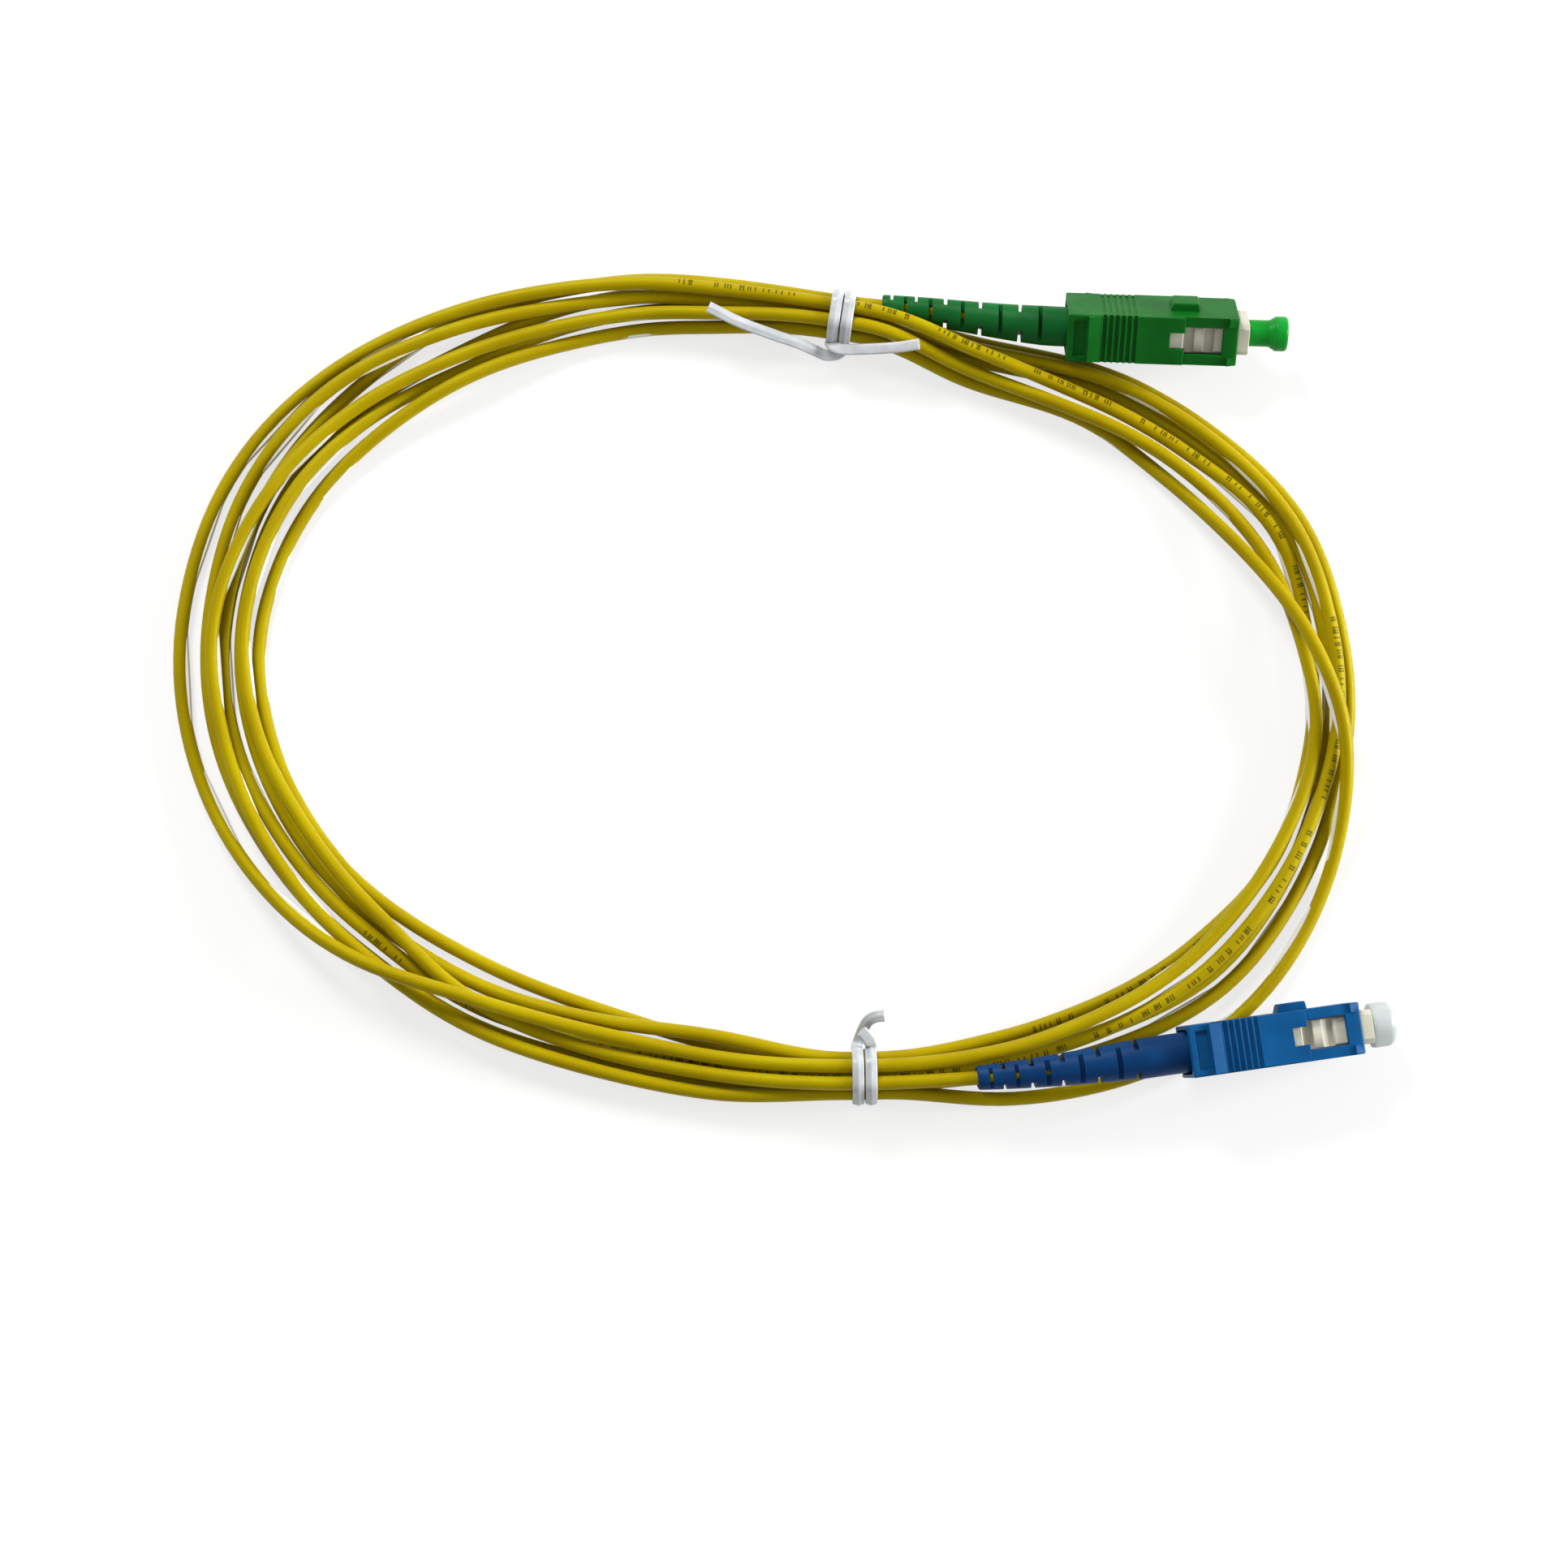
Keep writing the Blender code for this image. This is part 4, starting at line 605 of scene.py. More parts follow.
soft_white = Finish("white_tie_plastic")
cloud = soft_white.noise(soft_white.where.outputs["Object"], 400.0)
tie_white = soft_white.ramp(cloud, ((0.3, (0.44, 0.465, 0.485)), (0.6, (0.53, 0.555, 0.575)),
                                    (0.8, (0.60, 0.62, 0.64))))
soft_white.body({"Subsurface Weight": 0.25, "Subsurface Radius": (0.001, 0.001, 0.001), "Specular IOR Level": 0.5,
                 "Base Color": tie_white,
                 "Roughness": soft_white.maths("ADD", soft_white.maths("MULTIPLY", cloud, 0.3), 0.22)})
creases = soft_white.stretched(soft_white.where.outputs["UV"], (900.0, 4.0, 1.0))
soft_white.bump(soft_white.noise(creases, 1.0, 2.0), 0.35, 0.00012)


def twist_tie(name, node, at, tail_in, tail_out):
    """A strip from one tail's end, twice round the bundle at this place of the middle line, to the other's."""
    loop = bundle_outline(JACKET_D / 2 + TIE_CLEAR + TIE_THICK / 2, TIE_LOOP_STEPS)
    count = len(loop)
    flat = line.outward(np.array([at]))[0]
    outward = np.array([flat[0], flat[1], 0.0])
    along = np.array([-flat[1], flat[0], 0.0])
    origin = np.array([*line.point(np.array([at]))[0], 0.0])
    rise = np.array([0.0, 0.0, 1.0])

    def put(u, s, z):
        return origin + outward * u + along * s + rise * z

    first = open_curve(tail_in[::-1], TIE_LOOP_STEPS)
    last = open_curve(tail_out, TIE_LOOP_STEPS)
    path = [put(*p) for p in first]
    ups = [rise] * (len(path) - 5)
    ups += [rise - k * 0.25 * outward for k in range(1, 6)]
    for k in range(5, 2 * count):
        u, z = loop[k % count]
        shift = -TIE_PITCH / 2 + TIE_PITCH * smooth_step((k / count - 0.84) / 0.2)
        run = loop[(k + 1) % count] - loop[(k - 1) % count]
        run /= np.linalg.norm(run)
        path.append(put(u, shift, z))
        ups.append(outward * -run[1] + rise * run[0])
    path += [put(*p) for p in last]
    ups += [-(0.8 - 0.12 * k) * outward - (0.5 + 0.1 * k) * rise for k in range(6)] + [-rise] * (len(last) - 6)
    path, ups = np.array(path), np.array(ups)
    for _ in range(2):
        ups[1:-1] = (ups[:-2] + 2 * ups[1:-1] + ups[2:]) / 4
    side, up = ring_frames(path, ups)
    w, t, c, e = TIE_WIDTH / 2, TIE_THICK / 2, TIE_CORE, 0.09
    outline = [(-w, 0), (-w + e, -t + 0.05), (-w + 0.25, -t), (-0.35, -t), (0, -t - c * 0.3), (0.35, -t),
               (w - 0.25, -t), (w - e, -t + 0.05), (w, 0), (w - e, t - 0.05), (w - 0.25, t), (0.42, t),
               (0.2, t + c * 0.8), (0, t + c), (-0.2, t + c * 0.8), (-0.42, t), (-w + 0.25, t), (-w + e, t - 0.05)]
    shape = np.array(outline)
    rings = (path[:, None] + side[:, None] * shape[None, :, :1] + up[:, None] * shape[None, :, 1:])
    rings = rings * MM + np.array(HANK_SHIFT)
    rings[..., 2] = np.maximum(rings[..., 2], 0.00001)
    tie = skin_from_rings(name, rings)
    tie.data.materials.append(soft_white.material)
    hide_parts(node)
    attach(tie, "cord_and_plugs")
    return tie


top_tie = twist_tie("white_tie_top", "top_twist_tie", 0.0, TOP_TAIL_LEFT, TOP_TAIL_RIGHT)
bottom_tie = twist_tie("white_tie_bottom", "bottom_twist_tie", bottom, BOTTOM_TAIL_LONG, BOTTOM_TAIL_SHORT)

# ---------------------------------------------------------------- grip housings
# The push-pull sleeve of each connector, moulded in satin ABS, green for the angled plug and blue for
# the flat one.  It slides on the plug frame, and its windows let the adapter's hooks reach the frame.
GRIP_W = 9.0
GRIP_H = 7.4
GRIP_BORE_W = 7.3
GRIP_BORE_H = 5.4
GRIP_REAR_DEPTH = 9.5
GRIP_REAR_BORE_H = 6.4
PANEL_DEEP = 0.42               # the sunk panel's and the finger grooves'
GROOVE_COUNT = 6
GROOVE_PITCH = 0.9
GROOVE_SPAN = (5.04, 5.60)      # the first of them, from the rear
SHOULDER_SPAN = (2.95, 4.75)
SHOULDER_RISE = 0.55
LATCH_STEP = 0.4                # how much lower the latch side lies beside its window
WINDOW_END_Z = GRIP_L - 2.3
WINDOW_STEP_Z = WINDOW_END_Z - 5.6
WINDOW_START_Z = WINDOW_STEP_Z - 2.1


def choose_only(*objs):
    bpy.ops.object.select_all(action="DESELECT")
    for obj in objs:
        obj.select_set(True)
    bpy.context.view_layer.objects.active = objs[0]


def pick(obj, kind, test):
    """Goes into edit mode with only the parts of the mesh selected whose middle, in mm, passes the test."""
    choose_only(obj)
    bpy.ops.object.mode_set(mode="EDIT")
    bpy.ops.mesh.select_mode(type=kind)
    bpy.ops.mesh.select_all(action="DESELECT")
    mesh = bmesh.from_edit_mesh(obj.data)
    for item in {"VERT": mesh.verts, "EDGE": mesh.edges, "FACE": mesh.faces}[kind]:
        if kind == "VERT":
            middle = item.co / MM
            run = item.normal
        else:
            middle = sum((v.co for v in item.verts), Vector()) / len(item.verts) / MM
            run = item.normal if kind == "FACE" else (item.verts[1].co - item.verts[0].co).normalized()
        item.select_set(bool(test(middle, run)))
    bmesh.update_edit_mesh(obj.data)


def pick_all():
    bpy.ops.object.mode_set(mode="EDIT")
    bpy.ops.mesh.select_all(action="SELECT")


def leave_edit():
    bpy.ops.object.mode_set(mode="OBJECT")


def shift(obj, test, *by):
    """Moves the corners that pass the test by this much, in mm."""
    pick(obj, "VERT", test)
    bpy.ops.transform.translate(value=[step * MM for step in by])
    leave_edit()


def chamfer(obj, test, width, segments=1):
    """Cuts back the edges that pass the test."""
    pick(obj, "EDGE", test)
    bpy.ops.mesh.bevel(offset=width * MM, segments=segments, affect="EDGES")
    leave_edit()


def twin(obj):
    """A second one with its own mesh."""
    other = obj.copy()
    other.data = obj.data.copy()
    bpy.context.scene.collection.objects.link(other)
    return other


def block(name, x, y, z):
    """A cube brought to these spans, in mm."""
    bpy.ops.object.select_all(action="DESELECT")
    bpy.ops.mesh.primitive_cube_add(size=1.0, location=(0, 0, 0))
    obj = bpy.context.object
    obj.name = name
    pick_all()
    bpy.ops.transform.resize(value=[abs(b - a) * MM for a, b in (x, y, z)])
    bpy.ops.transform.translate(value=[(a + b) / 2 * MM for a, b in (x, y, z)])
    leave_edit()
    return obj


def apply_modifier(obj, name, kind, **settings):
    modifier = obj.modifiers.new(name, kind)
    for key, value in settings.items():
        setattr(modifier, key, value)
    choose_only(obj)
    bpy.ops.object.modifier_apply(modifier=modifier.name)


def cut(obj, *cutters, how="DIFFERENCE"):
    for cutter in cutters:
        apply_modifier(obj, "cut", "BOOLEAN", operation=how, object=cutter, solver="EXACT")
        bpy.data.objects.remove(cutter)


def flared(name, x, y, z, axis, out, lip=0.11, across="xyz"):
    """A cutter block from its floor up to the surface it cuts, then widened over the last bit, so that the cut
    is left with a small slanted edge all round.  It ends a millimetre outside the surface."""
    spans = {"x": list(x), "y": list(y), "z": list(z)}
    end = 1 if out > 0 else 0
    surface = spans[axis][end]
    spans[axis][end] = surface - out * lip
    obj = block(name, *(spans[a] for a in "xyz"))
    at = "xyz".index(axis)
    pick(obj, "FACE", lambda m, run: run[at] * out > 0.99)
    step = [0.0, 0.0, 0.0]
    step[at] = out * lip * MM
    grow = [1.0 if a == axis or a not in across else 1 + 2 * lip / abs(spans[a][1] - spans[a][0]) for a in "xyz"]
    middle = [(spans[a][0] + spans[a][1]) / 2 * MM for a in "xyz"]
    bpy.ops.mesh.extrude_region_move(TRANSFORM_OT_translate={"value": step})
    bpy.ops.transform.resize(value=grow, center_override=middle)
    step[at] = out * 1.0 * MM
    bpy.ops.mesh.extrude_region_move(TRANSFORM_OT_translate={"value": step})
    leave_edit()
    return obj


def round_edges(obj, width, segments=3, sharpness=25):
    """A radius on every corner edge of a plain block, before anything is cut out of it."""
    choose_only(obj)
    bpy.ops.object.mode_set(mode="EDIT")
    bpy.ops.mesh.select_mode(type="EDGE")
    bpy.ops.mesh.select_all(action="DESELECT")
    bpy.ops.mesh.edges_select_sharp(sharpness=math.radians(sharpness))
    bpy.ops.mesh.bevel(offset=width * MM, segments=segments, affect="EDGES")
    leave_edit()


def soften(obj, angle=50):
    """Smooth shading in which the big flat faces stay flat and the small slanted edges carry the turn."""
    choose_only(obj)
    bpy.ops.object.shade_smooth_by_angle(angle=math.radians(angle))
    apply_modifier(obj, "flat_faces", "WEIGHTED_NORMAL", weight=90, keep_sharp=True)


def settle_piece(obj, place, paint, node, body):
    obj.data.transform(place)
    obj.data.update()
    obj.data.materials.clear()
    obj.data.materials.append(paint)
    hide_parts(node)
    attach(obj, body)


def connector_place(key):
    """From a connector's own axes, in metres, to the part's frame."""
    place = connector_matrix(CONNECTORS[key])
    place.translation *= MM
    return Matrix.Translation(HANK_SHIFT) @ place


def moulded_paint(name, dark, middle, light, rough, sheen_scale=1.0, **body):
    """Moulded plastic: slow flow clouds in the colour, a fine spark-eroded grain, and rubbed spots."""
    made = Finish(name)
    where = made.where.outputs["Object"]
    flow = made.ramp(made.noise(where, 160.0, 4.0, 0.55), ((0.30, dark), (0.50, middle), (0.70, light)))
    rubbed = made.maths("MULTIPLY", made.noise(where, 700.0, 3.0, 0.6), 0.22 * sheen_scale)
    made.body({"Specular IOR Level": 0.12, "Base Color": flow, "Roughness": made.maths("ADD", rubbed, rough - 0.11)})
    made.body({socket.replace("_", " "): value for socket, value in body.items()})
    made.bump(made.noise(where, 9000.0, 2.0, 0.6), 0.16, 0.00003)
    return made.material


def groove_row(cutter):
    """The cutter of one finger groove, repeated for all of them."""
    apply_modifier(cutter, "row", "ARRAY", count=GROOVE_COUNT, use_relative_offset=False, use_constant_offset=True,
                   constant_offset_displace=(0, 0, GROOVE_PITCH * MM), use_merge_vertices=False)
    return cutter


def grip_shell():
    """The sleeve without its key, on the connector's own axes."""
    w, h = GRIP_W / 2, GRIP_H / 2
    grip = block("grip_shell", (-w, w), (-h, h), (0, GRIP_L))
    # long slanted corners at the mouth, on the two latch sides, and every corner edge rounded
    chamfer(grip, lambda m, run: m.z > GRIP_L - 0.01 and abs(m.x) > w - 0.01, 0.5)
    shift(grip, lambda m, run: abs(m.x) > w - 0.01 and m.z > GRIP_L - 1, 0, 0, -1.0)
    round_edges(grip, 0.24)
    for side in (-1, 1):                        # faint grooves on the key side and the one opposite
        shallow = flared("faint_grooves", (-w + 0.9, w - 0.9), (side * (h - 0.14), side * h)[::side], (5.1, 5.5),
                         "y", side, 0.06)
        cut(grip, groove_row(shallow))
    # finger shoulders: a rib across each latch side, steep behind and sloping down to the front
    for side in (-1, 1):
        rib = block("shoulder", (side * (w - 0.6), side * (w + SHOULDER_RISE)), (-h + 0.12, h - 0.12), SHOULDER_SPAN)
        shift(rib, lambda m, run: abs(m.x) > w + 0.3 and m.z > 4, -side * 0.52, 0, 0)
        round_edges(rib, 0.13)
        cut(grip, rib, how="UNION")
    cut(grip, flared("bore", (-GRIP_BORE_W / 2, GRIP_BORE_W / 2), (-GRIP_BORE_H / 2, GRIP_BORE_H / 2),
                     (GRIP_REAR_DEPTH - 1, GRIP_L), "z", 1, 0.16))
    mouth = block("rear_bore", (-GRIP_BORE_W / 2 + 0.02, GRIP_BORE_W / 2 - 0.02),
                  (-GRIP_REAR_BORE_H / 2, GRIP_REAR_BORE_H / 2), (-1, GRIP_REAR_DEPTH))
    chamfer(mouth, lambda m, run: abs(run.z) > 0.99, 0.9, 4)
    cut(grip, mouth)
    for side in (-1, 1):
        # sunk panel at the rear
        cut(grip, flared("panel", (side * (w - PANEL_DEEP), side * w)[::side], (-2.75, 2.75), (0.95, 2.72), "x", side))
        groove = flared("grooves", (side * (w - PANEL_DEEP), side * w)[::side], (-h - 1, h + 1), GROOVE_SPAN, "x",
                        side, 0.08, "xz")
        cut(grip, groove_row(groove))
        # the latch side steps down beside the window, and leaves two corner blocks at the mouth
        low = side * (w - LATCH_STEP)
        cut(grip, flared("step", (low, side * w)[::side], (-h - 1, h + 1), (WINDOW_STEP_Z, GRIP_L - 1.5), "x",
                         side, 0.13, "xz"))
        cut(grip, flared("between_corners", (low, side * w)[::side], (-h + 1.35, h - 1.35),
                         (GRIP_L - 2.5, GRIP_L + 1), "x", side, 0.11, "xy"))
        # stepped latch window
        deep = side * (GRIP_BORE_W / 2 - 0.5)
        cut(grip, flared("window", (deep, low)[::side], (-2.1, 2.1), (WINDOW_STEP_Z + 0.14, WINDOW_END_Z), "x",
                         side, 0.13))
        cut(grip, flared("narrow_window", (deep, side * w)[::side], (-1.3, 1.3), (WINDOW_START_Z, WINDOW_STEP_Z + 1),
                         "x", side, 0.11))
    return grip


def add_key(grip, z):
    """The key on the upper side, a low block with a sloped start that only fits one way in an adapter."""
    h = GRIP_H / 2
    key = block("key", (-1.7, 1.7), (h - 0.6, h + 1.2), (z, z + 4.7))
    shift(key, lambda m, run: m.y > h + 1 and m.z < z + 1, 0, 0, 0.65)
    shift(key, lambda m, run: m.y > h + 1 and m.z > z + 4, 0, 0, -0.3)
    round_edges(key, 0.22)
    cut(grip, key, how="UNION")


green_abs = moulded_paint("green_satin_abs", (0.0012, 0.090, 0.0050), (0.0020, 0.110, 0.0075),
                          (0.0030, 0.132, 0.0105), 0.44)
blue_abs = moulded_paint("blue_satin_abs", (0.0006, 0.056, 0.175), (0.0010, 0.070, 0.212),
                         (0.0020, 0.086, 0.250), 0.44)
first_grip = grip_shell()
for grip, key, name, paint, slot in ((first_grip, "apc", "green_grip", green_abs, "green_grip"),
                                     (twin(first_grip), "upc", "blue_grip", blue_abs, "blue_grip")):
    grip.name = name
    add_key(grip, CONNECTORS[key]["key_z"])
    soften(grip)
    settle_piece(grip, connector_place(key), paint, f"{key}_grip_housing", f"{key}_grip")

# ---------------------------------------------------------------- plug frames
# The white plug inside each grip, moulded in PBT.  Its mouth surrounds the ferrule, and the ridge in the
# hollow of each side is what the adapter's hooks snap over.
FRAME_W = 6.8
FRAME_H = 4.9
FRAME_L = 18.1
APC_NOSE_CUT = 0.7              # the green plug's nose is this much shorter
LATCH_W = 3.9                   # across each hollow that the adapter's hooks drop into


def turned(name, profile, sides=48):
    """A round piece drawn out of one circle: each (radius, z) of the profile, in mm, is a ring."""
    bpy.ops.object.select_all(action="DESELECT")
    (r0, z0), rest = profile[0], profile[1:]
    bpy.ops.mesh.primitive_circle_add(vertices=sides, radius=max(r0, 0.01) * MM, location=(0, 0, 0))
    obj = bpy.context.object
    obj.name = name
    pick_all()
    bpy.ops.transform.translate(value=(0, 0, z0 * MM))
    if r0 < 0.01:
        bpy.ops.mesh.edge_face_add()
    r, z = max(r0, 0.01), z0
    for next_r, next_z in rest:
        next_r = max(next_r, 0.01)
        bpy.ops.mesh.extrude_edges_move(TRANSFORM_OT_translate={"value": (0, 0, (next_z - z) * MM)})
        if abs(next_r - r) > 1e-6:
            bpy.ops.transform.resize(value=(next_r / r, next_r / r, 1))
        r, z = next_r, next_z
    if profile[-1][0] < 0.01:
        bpy.ops.mesh.edge_face_add()
    if profile[0] == profile[-1]:
        bpy.ops.mesh.select_all(action="SELECT")
        bpy.ops.mesh.remove_doubles(threshold=0.000002)
    bpy.ops.mesh.select_all(action="SELECT")
    bpy.ops.mesh.normals_make_consistent(inside=False)
    leave_edit()
    return obj


def plug_frame():
    """On the connector's own axes, with its front face at z = 0."""
    w, h = FRAME_W / 2, FRAME_H / 2
    across = (-LATCH_W / 2, LATCH_W / 2)
    frame_block = block("plug_frame", (-w, w), (-h, h), (-FRAME_L, 0))
    chamfer(frame_block, lambda m, run: abs(run.z) > 0.99, 0.7)
    round_edges(frame_block, 0.14)
    cut(frame_block, turned("mouth", [(0, 1), (2.45, 1), (2.45, 0.02), (2.15, -0.3), (2.15, -5.6), (1.5, -5.6),
                                      (1.5, -7.0), (2.05, -7.0), (2.05, -FRAME_L - 1), (0, -FRAME_L - 1)]))
    for side in (-1, 1):
        low, ridge = side * (w - 0.75), side * (w - 0.10)
        cut(frame_block, block("ridge_top", (ridge, side * (w + 1)), across, (-8.72, -7.48)))
        cut(frame_block, flared("hollow_behind_ridge", (low, side * w)[::side], across, (-10.3, -8.8), "x", side, 0.20))
        ahead = flared("hollow_ahead_of_ridge", (low, side * w)[::side], across, (-7.45, -5.9), "x", side, 0.20)
        shift(ahead, lambda m, run: abs(m.x) < w - 0.5 and m.z < -7, side * 0.35, 0, 0.35)
        cut(frame_block, ahead)
        cut(frame_block, block("snap_window", (side * 1.45, side * (w + 1)), (-0.9, 0.9),
                               (-FRAME_L + 1.2, -FRAME_L + 2.6)))
    soften(frame_block)
    return frame_block


pbt = moulded_paint("cream_white_pbt", (0.48, 0.465, 0.375), (0.555, 0.54, 0.445), (0.63, 0.62, 0.52), 0.42,
                    Subsurface_Weight=0.12, Subsurface_Radius=(0.0008, 0.0006, 0.0004))
first_frame = plug_frame()
for plug, key, name in ((first_frame, "apc", "white_frame_apc"), (twin(first_frame), "upc", "white_frame_upc")):
    plug.name = name
    if key == "apc":
        shift(plug, lambda m, run: m.z > -4, 0, 0, -APC_NOSE_CUT)
    front = Matrix.Translation((0, 0, (GRIP_L + CONNECTORS[key]["frame_out"]) * MM))
    settle_piece(plug, connector_place(key) @ front, pbt, f"{key}_plug_frame", "cord_and_plugs")

# ---------------------------------------------------------------- boots
# The bend relief behind each grip, moulded in soft PVC and pushed over the crimp ring.  Saw-like slits
# from two opposite sides, each pair a quarter turn from the last, let it bend with the cord.
BOOT_BASE_D = 5.8
BOOT_TIP_D = 3.4
BOOT_TAPER_L = 23.5
BOOT_BORE_R = 1.3
SOCKET_R = 2.3                  # the wide bore over the crimp ring
SOCKET_BACK = 28.4              # from the plug frame's face to the end of it
BOOT_SLIT_W = {"apc": 0.58, "upc": 0.72}
BOOT_WEB = {"apc": 0.50, "upc": 0.56}           # a cut stops at this share of the radius, and leaves two webs
BOOT_SLITS = {"apc": (1.4, 3.4, 5.0, 7.1, 9.3, 11.8, 14.4, 17.3, 20.2, 23.1),
              "upc": (1.9, 3.8, 5.6, 7.8, 10.0, 12.2, 14.8, 17.3, 20.2, 22.8)}
BOOT_TURN = {"apc": 30.0, "upc": -7.0}          # how far a boot has turned on its cord


def boot_radius(from_tip):
    share = min(from_tip / BOOT_TAPER_L, 1.0)
    return (BOOT_TIP_D + (BOOT_BASE_D - BOOT_TIP_D) * share) / 2


def make_boot(key):
    spec = CONNECTORS[key]
    base = spec["boot_in"]
    tip = base - BOOT_L
    socket = GRIP_L + spec["frame_out"] - SOCKET_BACK
    profile = [(BOOT_BORE_R, tip), (boot_radius(0) - 0.28, tip), (boot_radius(0) - 0.08, tip + 0.08),
               (boot_radius(0.3), tip + 0.3)]
    steps = 36
    for i in range(1, steps + 1):
        at = 0.3 + (BOOT_L - 0.6) * i / steps
        profile.append((boot_radius(at), tip + at))
    profile += [(BOOT_BASE_D / 2 - 0.1, base), (SOCKET_R, base), (SOCKET_R, socket), (BOOT_BORE_R, socket - 0.4)]
    for i in range(1, 25):
        profile.append((BOOT_BORE_R, socket - 0.4 + (tip - socket + 0.4) * i / 24))
    profile[-1] = profile[0]
    boot = turned(f"{key}_boot_relief", profile, 48)
    for i, at in enumerate(BOOT_SLITS[key]):
        r = boot_radius(at)
        half = BOOT_SLIT_W[key] / 2 * (0.75 if i < 3 else 1.0)
        opens_on_key_side = (i + (0 if key == "apc" else 1)) % 2 == 0
        turn = BOOT_TURN[key] + (90.0 if opens_on_key_side else 0.0)
        for side in (-1, 1):
            saw = block("slit", (side * BOOT_WEB[key] * r, side * (r + 1)), (-r - 1, r + 1),
                        (tip + at - half, tip + at + half))
            choose_only(saw)
            pick_all()
            bpy.ops.transform.rotate(value=math.radians(turn), orient_axis="Z", center_override=(0, 0, 0))
            leave_edit()
            cut(boot, saw)
    soften(boot, 40)
    # the set it has taken from the way the cord leaves
    to_local = connector_matrix(spec).to_3x3().inverted()
    for v in boot.data.vertices:
        a, b = boot_bend(spec, max(-v.co.z / MM, 0.0))
        v.co += to_local @ Vector((0, float(a), float(b))) * MM
    return boot


green_pvc = moulded_paint("green_soft_pvc", (0.002, 0.085, 0.012), (0.003, 0.108, 0.017), (0.004, 0.132, 0.024), 0.46)
blue_pvc = moulded_paint("blue_soft_pvc", (0.0003, 0.028, 0.108), (0.0005, 0.034, 0.130), (0.0009, 0.043, 0.154), 0.46)
for key, paint, slot in (("apc", green_pvc, "green_boot"), ("upc", blue_pvc, "blue_boot")):
    settle_piece(make_boot(key), connector_place(key), paint, f"{key}_boot", "cord_and_plugs")

# ---------------------------------------------------------------- dust caps
# Soft caps pushed over the ferrules: the green one is a stem with a rounded collar for the fingers,
# the other a short domed cup of milky polyethylene that the plug shows through.
CAP_STEM_R = 1.95
CAP_BORE_R = 1.45
CAP_STEM_IN = 3.6
CAP_FLOOR = 3.0                 # bottom of the bore, ahead of the frame's face
COLLAR_R = 2.55
CLEAR_CAP_R = 3.2
CLEAR_CAP_L = 3.8
DOME_EDGE = 1.40                # how far the dome draws in
DOME_RISE = 1.45


def rounded(r, z0, z1, radius, steps=5):
    """Profile points of a disc's two rounded rims."""
    low = [(r - radius + radius * math.sin(a), z0 + radius - radius * math.cos(a))
           for a in (math.pi / 2 * k / steps for k in range(steps + 1))]
    high = [(r - radius + radius * math.cos(a), z1 - radius + radius * math.sin(a))
            for a in (math.pi / 2 * k / steps for k in range(steps + 1))]
    return low + high


def cap_bore():
    """From the closed end of the bore to the stem's open rim."""
    return [(0, CAP_FLOOR + 0.35), (CAP_BORE_R * 0.7, CAP_FLOOR + 0.1), (CAP_BORE_R, CAP_FLOOR - 0.3),
            (CAP_BORE_R, -CAP_STEM_IN + 0.3), (CAP_BORE_R + 0.2, -CAP_STEM_IN), (CAP_STEM_R - 0.1, -CAP_STEM_IN),
            (CAP_STEM_R, -CAP_STEM_IN + 0.12)]


green_profile = cap_bore() + [(CAP_STEM_R, 2.9), (CAP_STEM_R + 0.03, 3.15), (CAP_STEM_R + 0.12, 3.38),
                              (CAP_STEM_R + 0.3, 3.6)]
green_profile += [(r, z) for r, z in rounded(COLLAR_R, 3.7, 5.9, 0.55, 6) if r > CAP_STEM_R + 0.32]
green_profile += [(1.2, 5.96), (0, 5.98)]
clear_profile = cap_bore() + [(CAP_STEM_R, 0.22), (CLEAR_CAP_R - 0.35, 0.22), (CLEAR_CAP_R - 0.09, 0.3),
                              (CLEAR_CAP_R - 0.02, 0.5), (CLEAR_CAP_R, 0.8)]
clear_profile += [(CLEAR_CAP_R - DOME_EDGE * (1 - math.cos(a)), CLEAR_CAP_L - DOME_RISE * (1 - math.sin(a)))
                  for a in (math.pi / 2 * k / 9 for k in range(1, 10))]
clear_profile += [(0.9, CLEAR_CAP_L), (0, CLEAR_CAP_L)]
green_pe = moulded_paint("green_cap_polyethylene", (0.003, 0.215, 0.014), (0.005, 0.255, 0.022),
                         (0.008, 0.300, 0.034), 0.34,
                         Subsurface_Weight=0.10, Subsurface_Radius=(0.0003, 0.0012, 0.0005))
milky_pe = moulded_paint("milky_clear_polyethylene", (0.60, 0.66, 0.655), (0.67, 0.725, 0.72),
                         (0.74, 0.79, 0.785), 0.36, Transmission_Weight=0.45, IOR=1.50,
                         Subsurface_Weight=0.35, Subsurface_Radius=(0.0015, 0.0016, 0.0017))
for key, profile, name, paint, slot in (("apc", green_profile, "green_dust_cap", green_pe, "green_cap"),
                                        ("upc", clear_profile, "milky_dust_cap", milky_pe, "clear_cap")):
    cap = turned(name, profile, 64)
    choose_only(cap)
    bpy.ops.object.shade_smooth_by_angle(angle=math.radians(38))
    at = GRIP_L + CONNECTORS[key]["frame_out"] - (APC_NOSE_CUT if key == "apc" else 0)
    front = Matrix.Translation((0, 0, at * MM))
    settle_piece(cap, connector_place(key) @ front, paint, f"{key}_dust_cap", f"{key}_cap")

# ---------------------------------------------------------------- ferrules
# The ceramic rod that holds the fibre at each end, ground zirconia: its tip is angled at 8 degrees in
# the green plug and domed in the blue one.  It hides under the dust cap.


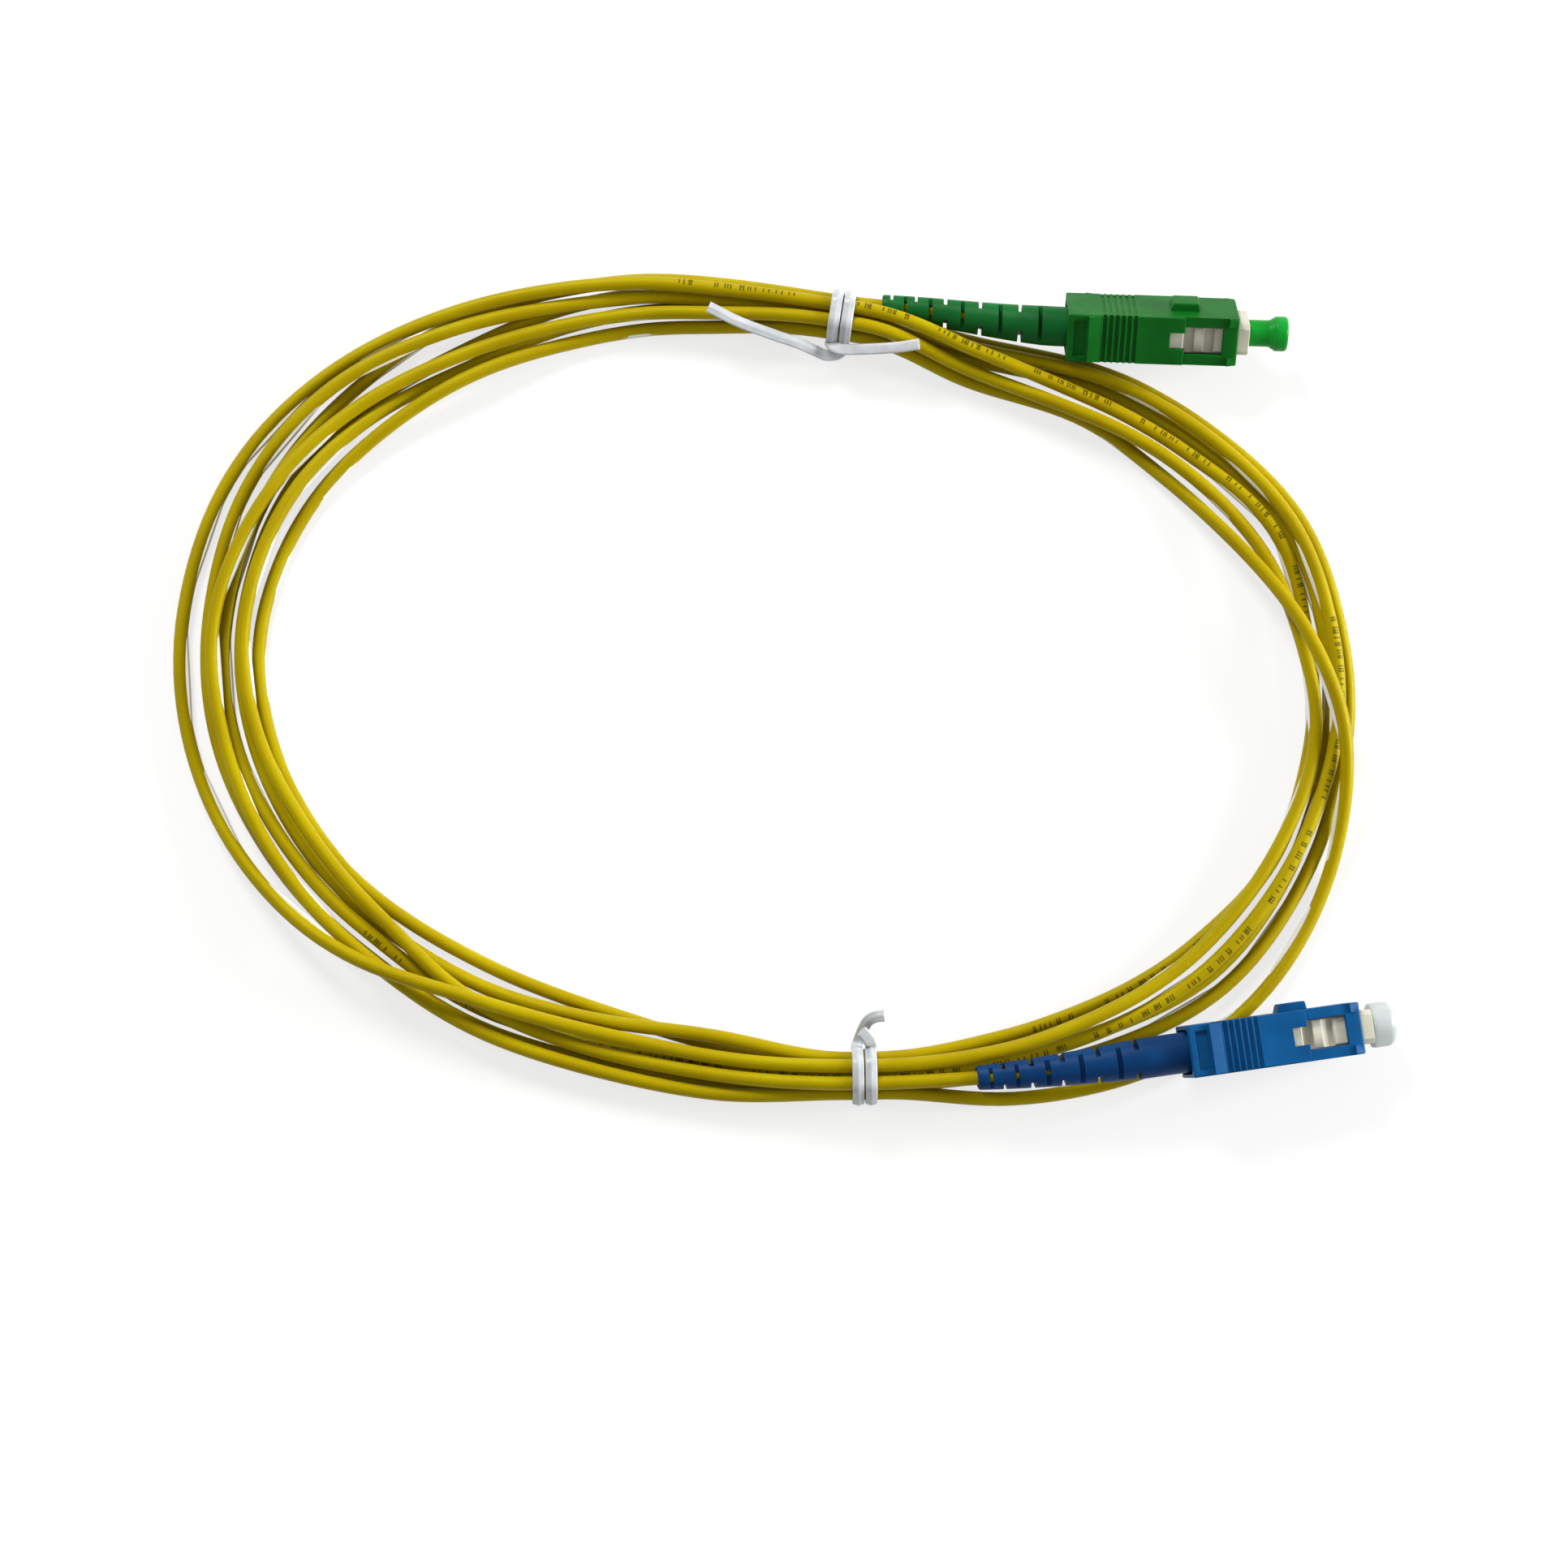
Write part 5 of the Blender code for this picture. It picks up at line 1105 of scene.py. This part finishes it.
def dress(node, paint):
    """Puts a material on a solid of the frame that keeps its own shape."""
    piece = frame["nodes"][node]
    for place_of_paint in piece.material_slots:
        place_of_paint.material = paint


zirconia = moulded_paint("ground_zirconia", (0.74, 0.73, 0.70), (0.80, 0.79, 0.76), (0.84, 0.83, 0.80), 0.16, 0.4,
                         Subsurface_Weight=0.10, Subsurface_Radius=(0.0004, 0.0004, 0.0003))
for key in CONNECTORS:
    dress(f"{key}_ferrule", zirconia)

# ---------------------------------------------------------------- flanges, rear bodies, springs and crimp rings
# The metal inside: a nickel-plated collar pressed on the ferrule, the spring behind it, the turned body
# that closes the plug frame, and the ring that grips the yarn and the jacket's end.


def metal_paint(name, colour, worn, rough, turning):
    """Turned or drawn metal: fine lathe rings, faint stains, and a rougher patch here and there."""
    made = Finish(name)
    where = made.where.outputs["Object"]
    stain = made.noise(where, 260.0, 4.0, 0.6)
    made.body({"Metallic": 1.0, "Base Color": made.ramp(stain, ((0.35, worn), (0.62, colour))),
               "Roughness": made.maths("ADD", made.maths("MULTIPLY", stain, 0.25), rough)})
    made.bump(made.noise(made.stretched(where, turning), 1.0, 2.0), 0.25, 0.00002)
    return made.material


nickel = metal_paint("nickel_plated_brass", (0.62, 0.59, 0.53), (0.48, 0.45, 0.40), 0.16, (9000.0, 400.0, 400.0))
spring_wire = metal_paint("spring_steel_wire", (0.55, 0.55, 0.56), (0.38, 0.38, 0.39), 0.20, (3000.0, 3000.0, 3000.0))
crimp_metal = metal_paint("crimped_brass_ring", (0.60, 0.58, 0.54), (0.42, 0.40, 0.37), 0.26, (5000.0, 600.0, 600.0))
for key in CONNECTORS:
    dress(f"{key}_ferrule_flange", nickel)
    dress(f"{key}_rear_body", nickel)
    dress(f"{key}_spring", spring_wire)
    dress(f"{key}_crimp_ring", crimp_metal)

# ---------------------------------------------------------------- buffered fibre
# The glass fibre in its white tight buffer, 0.9 mm thick, which runs through the jacket from ferrule
# to ferrule.
buffer_paint = moulded_paint("white_tight_buffer", (0.66, 0.66, 0.62), (0.74, 0.74, 0.70), (0.80, 0.80, 0.77), 0.45)
dress("buffered_fibre", buffer_paint)
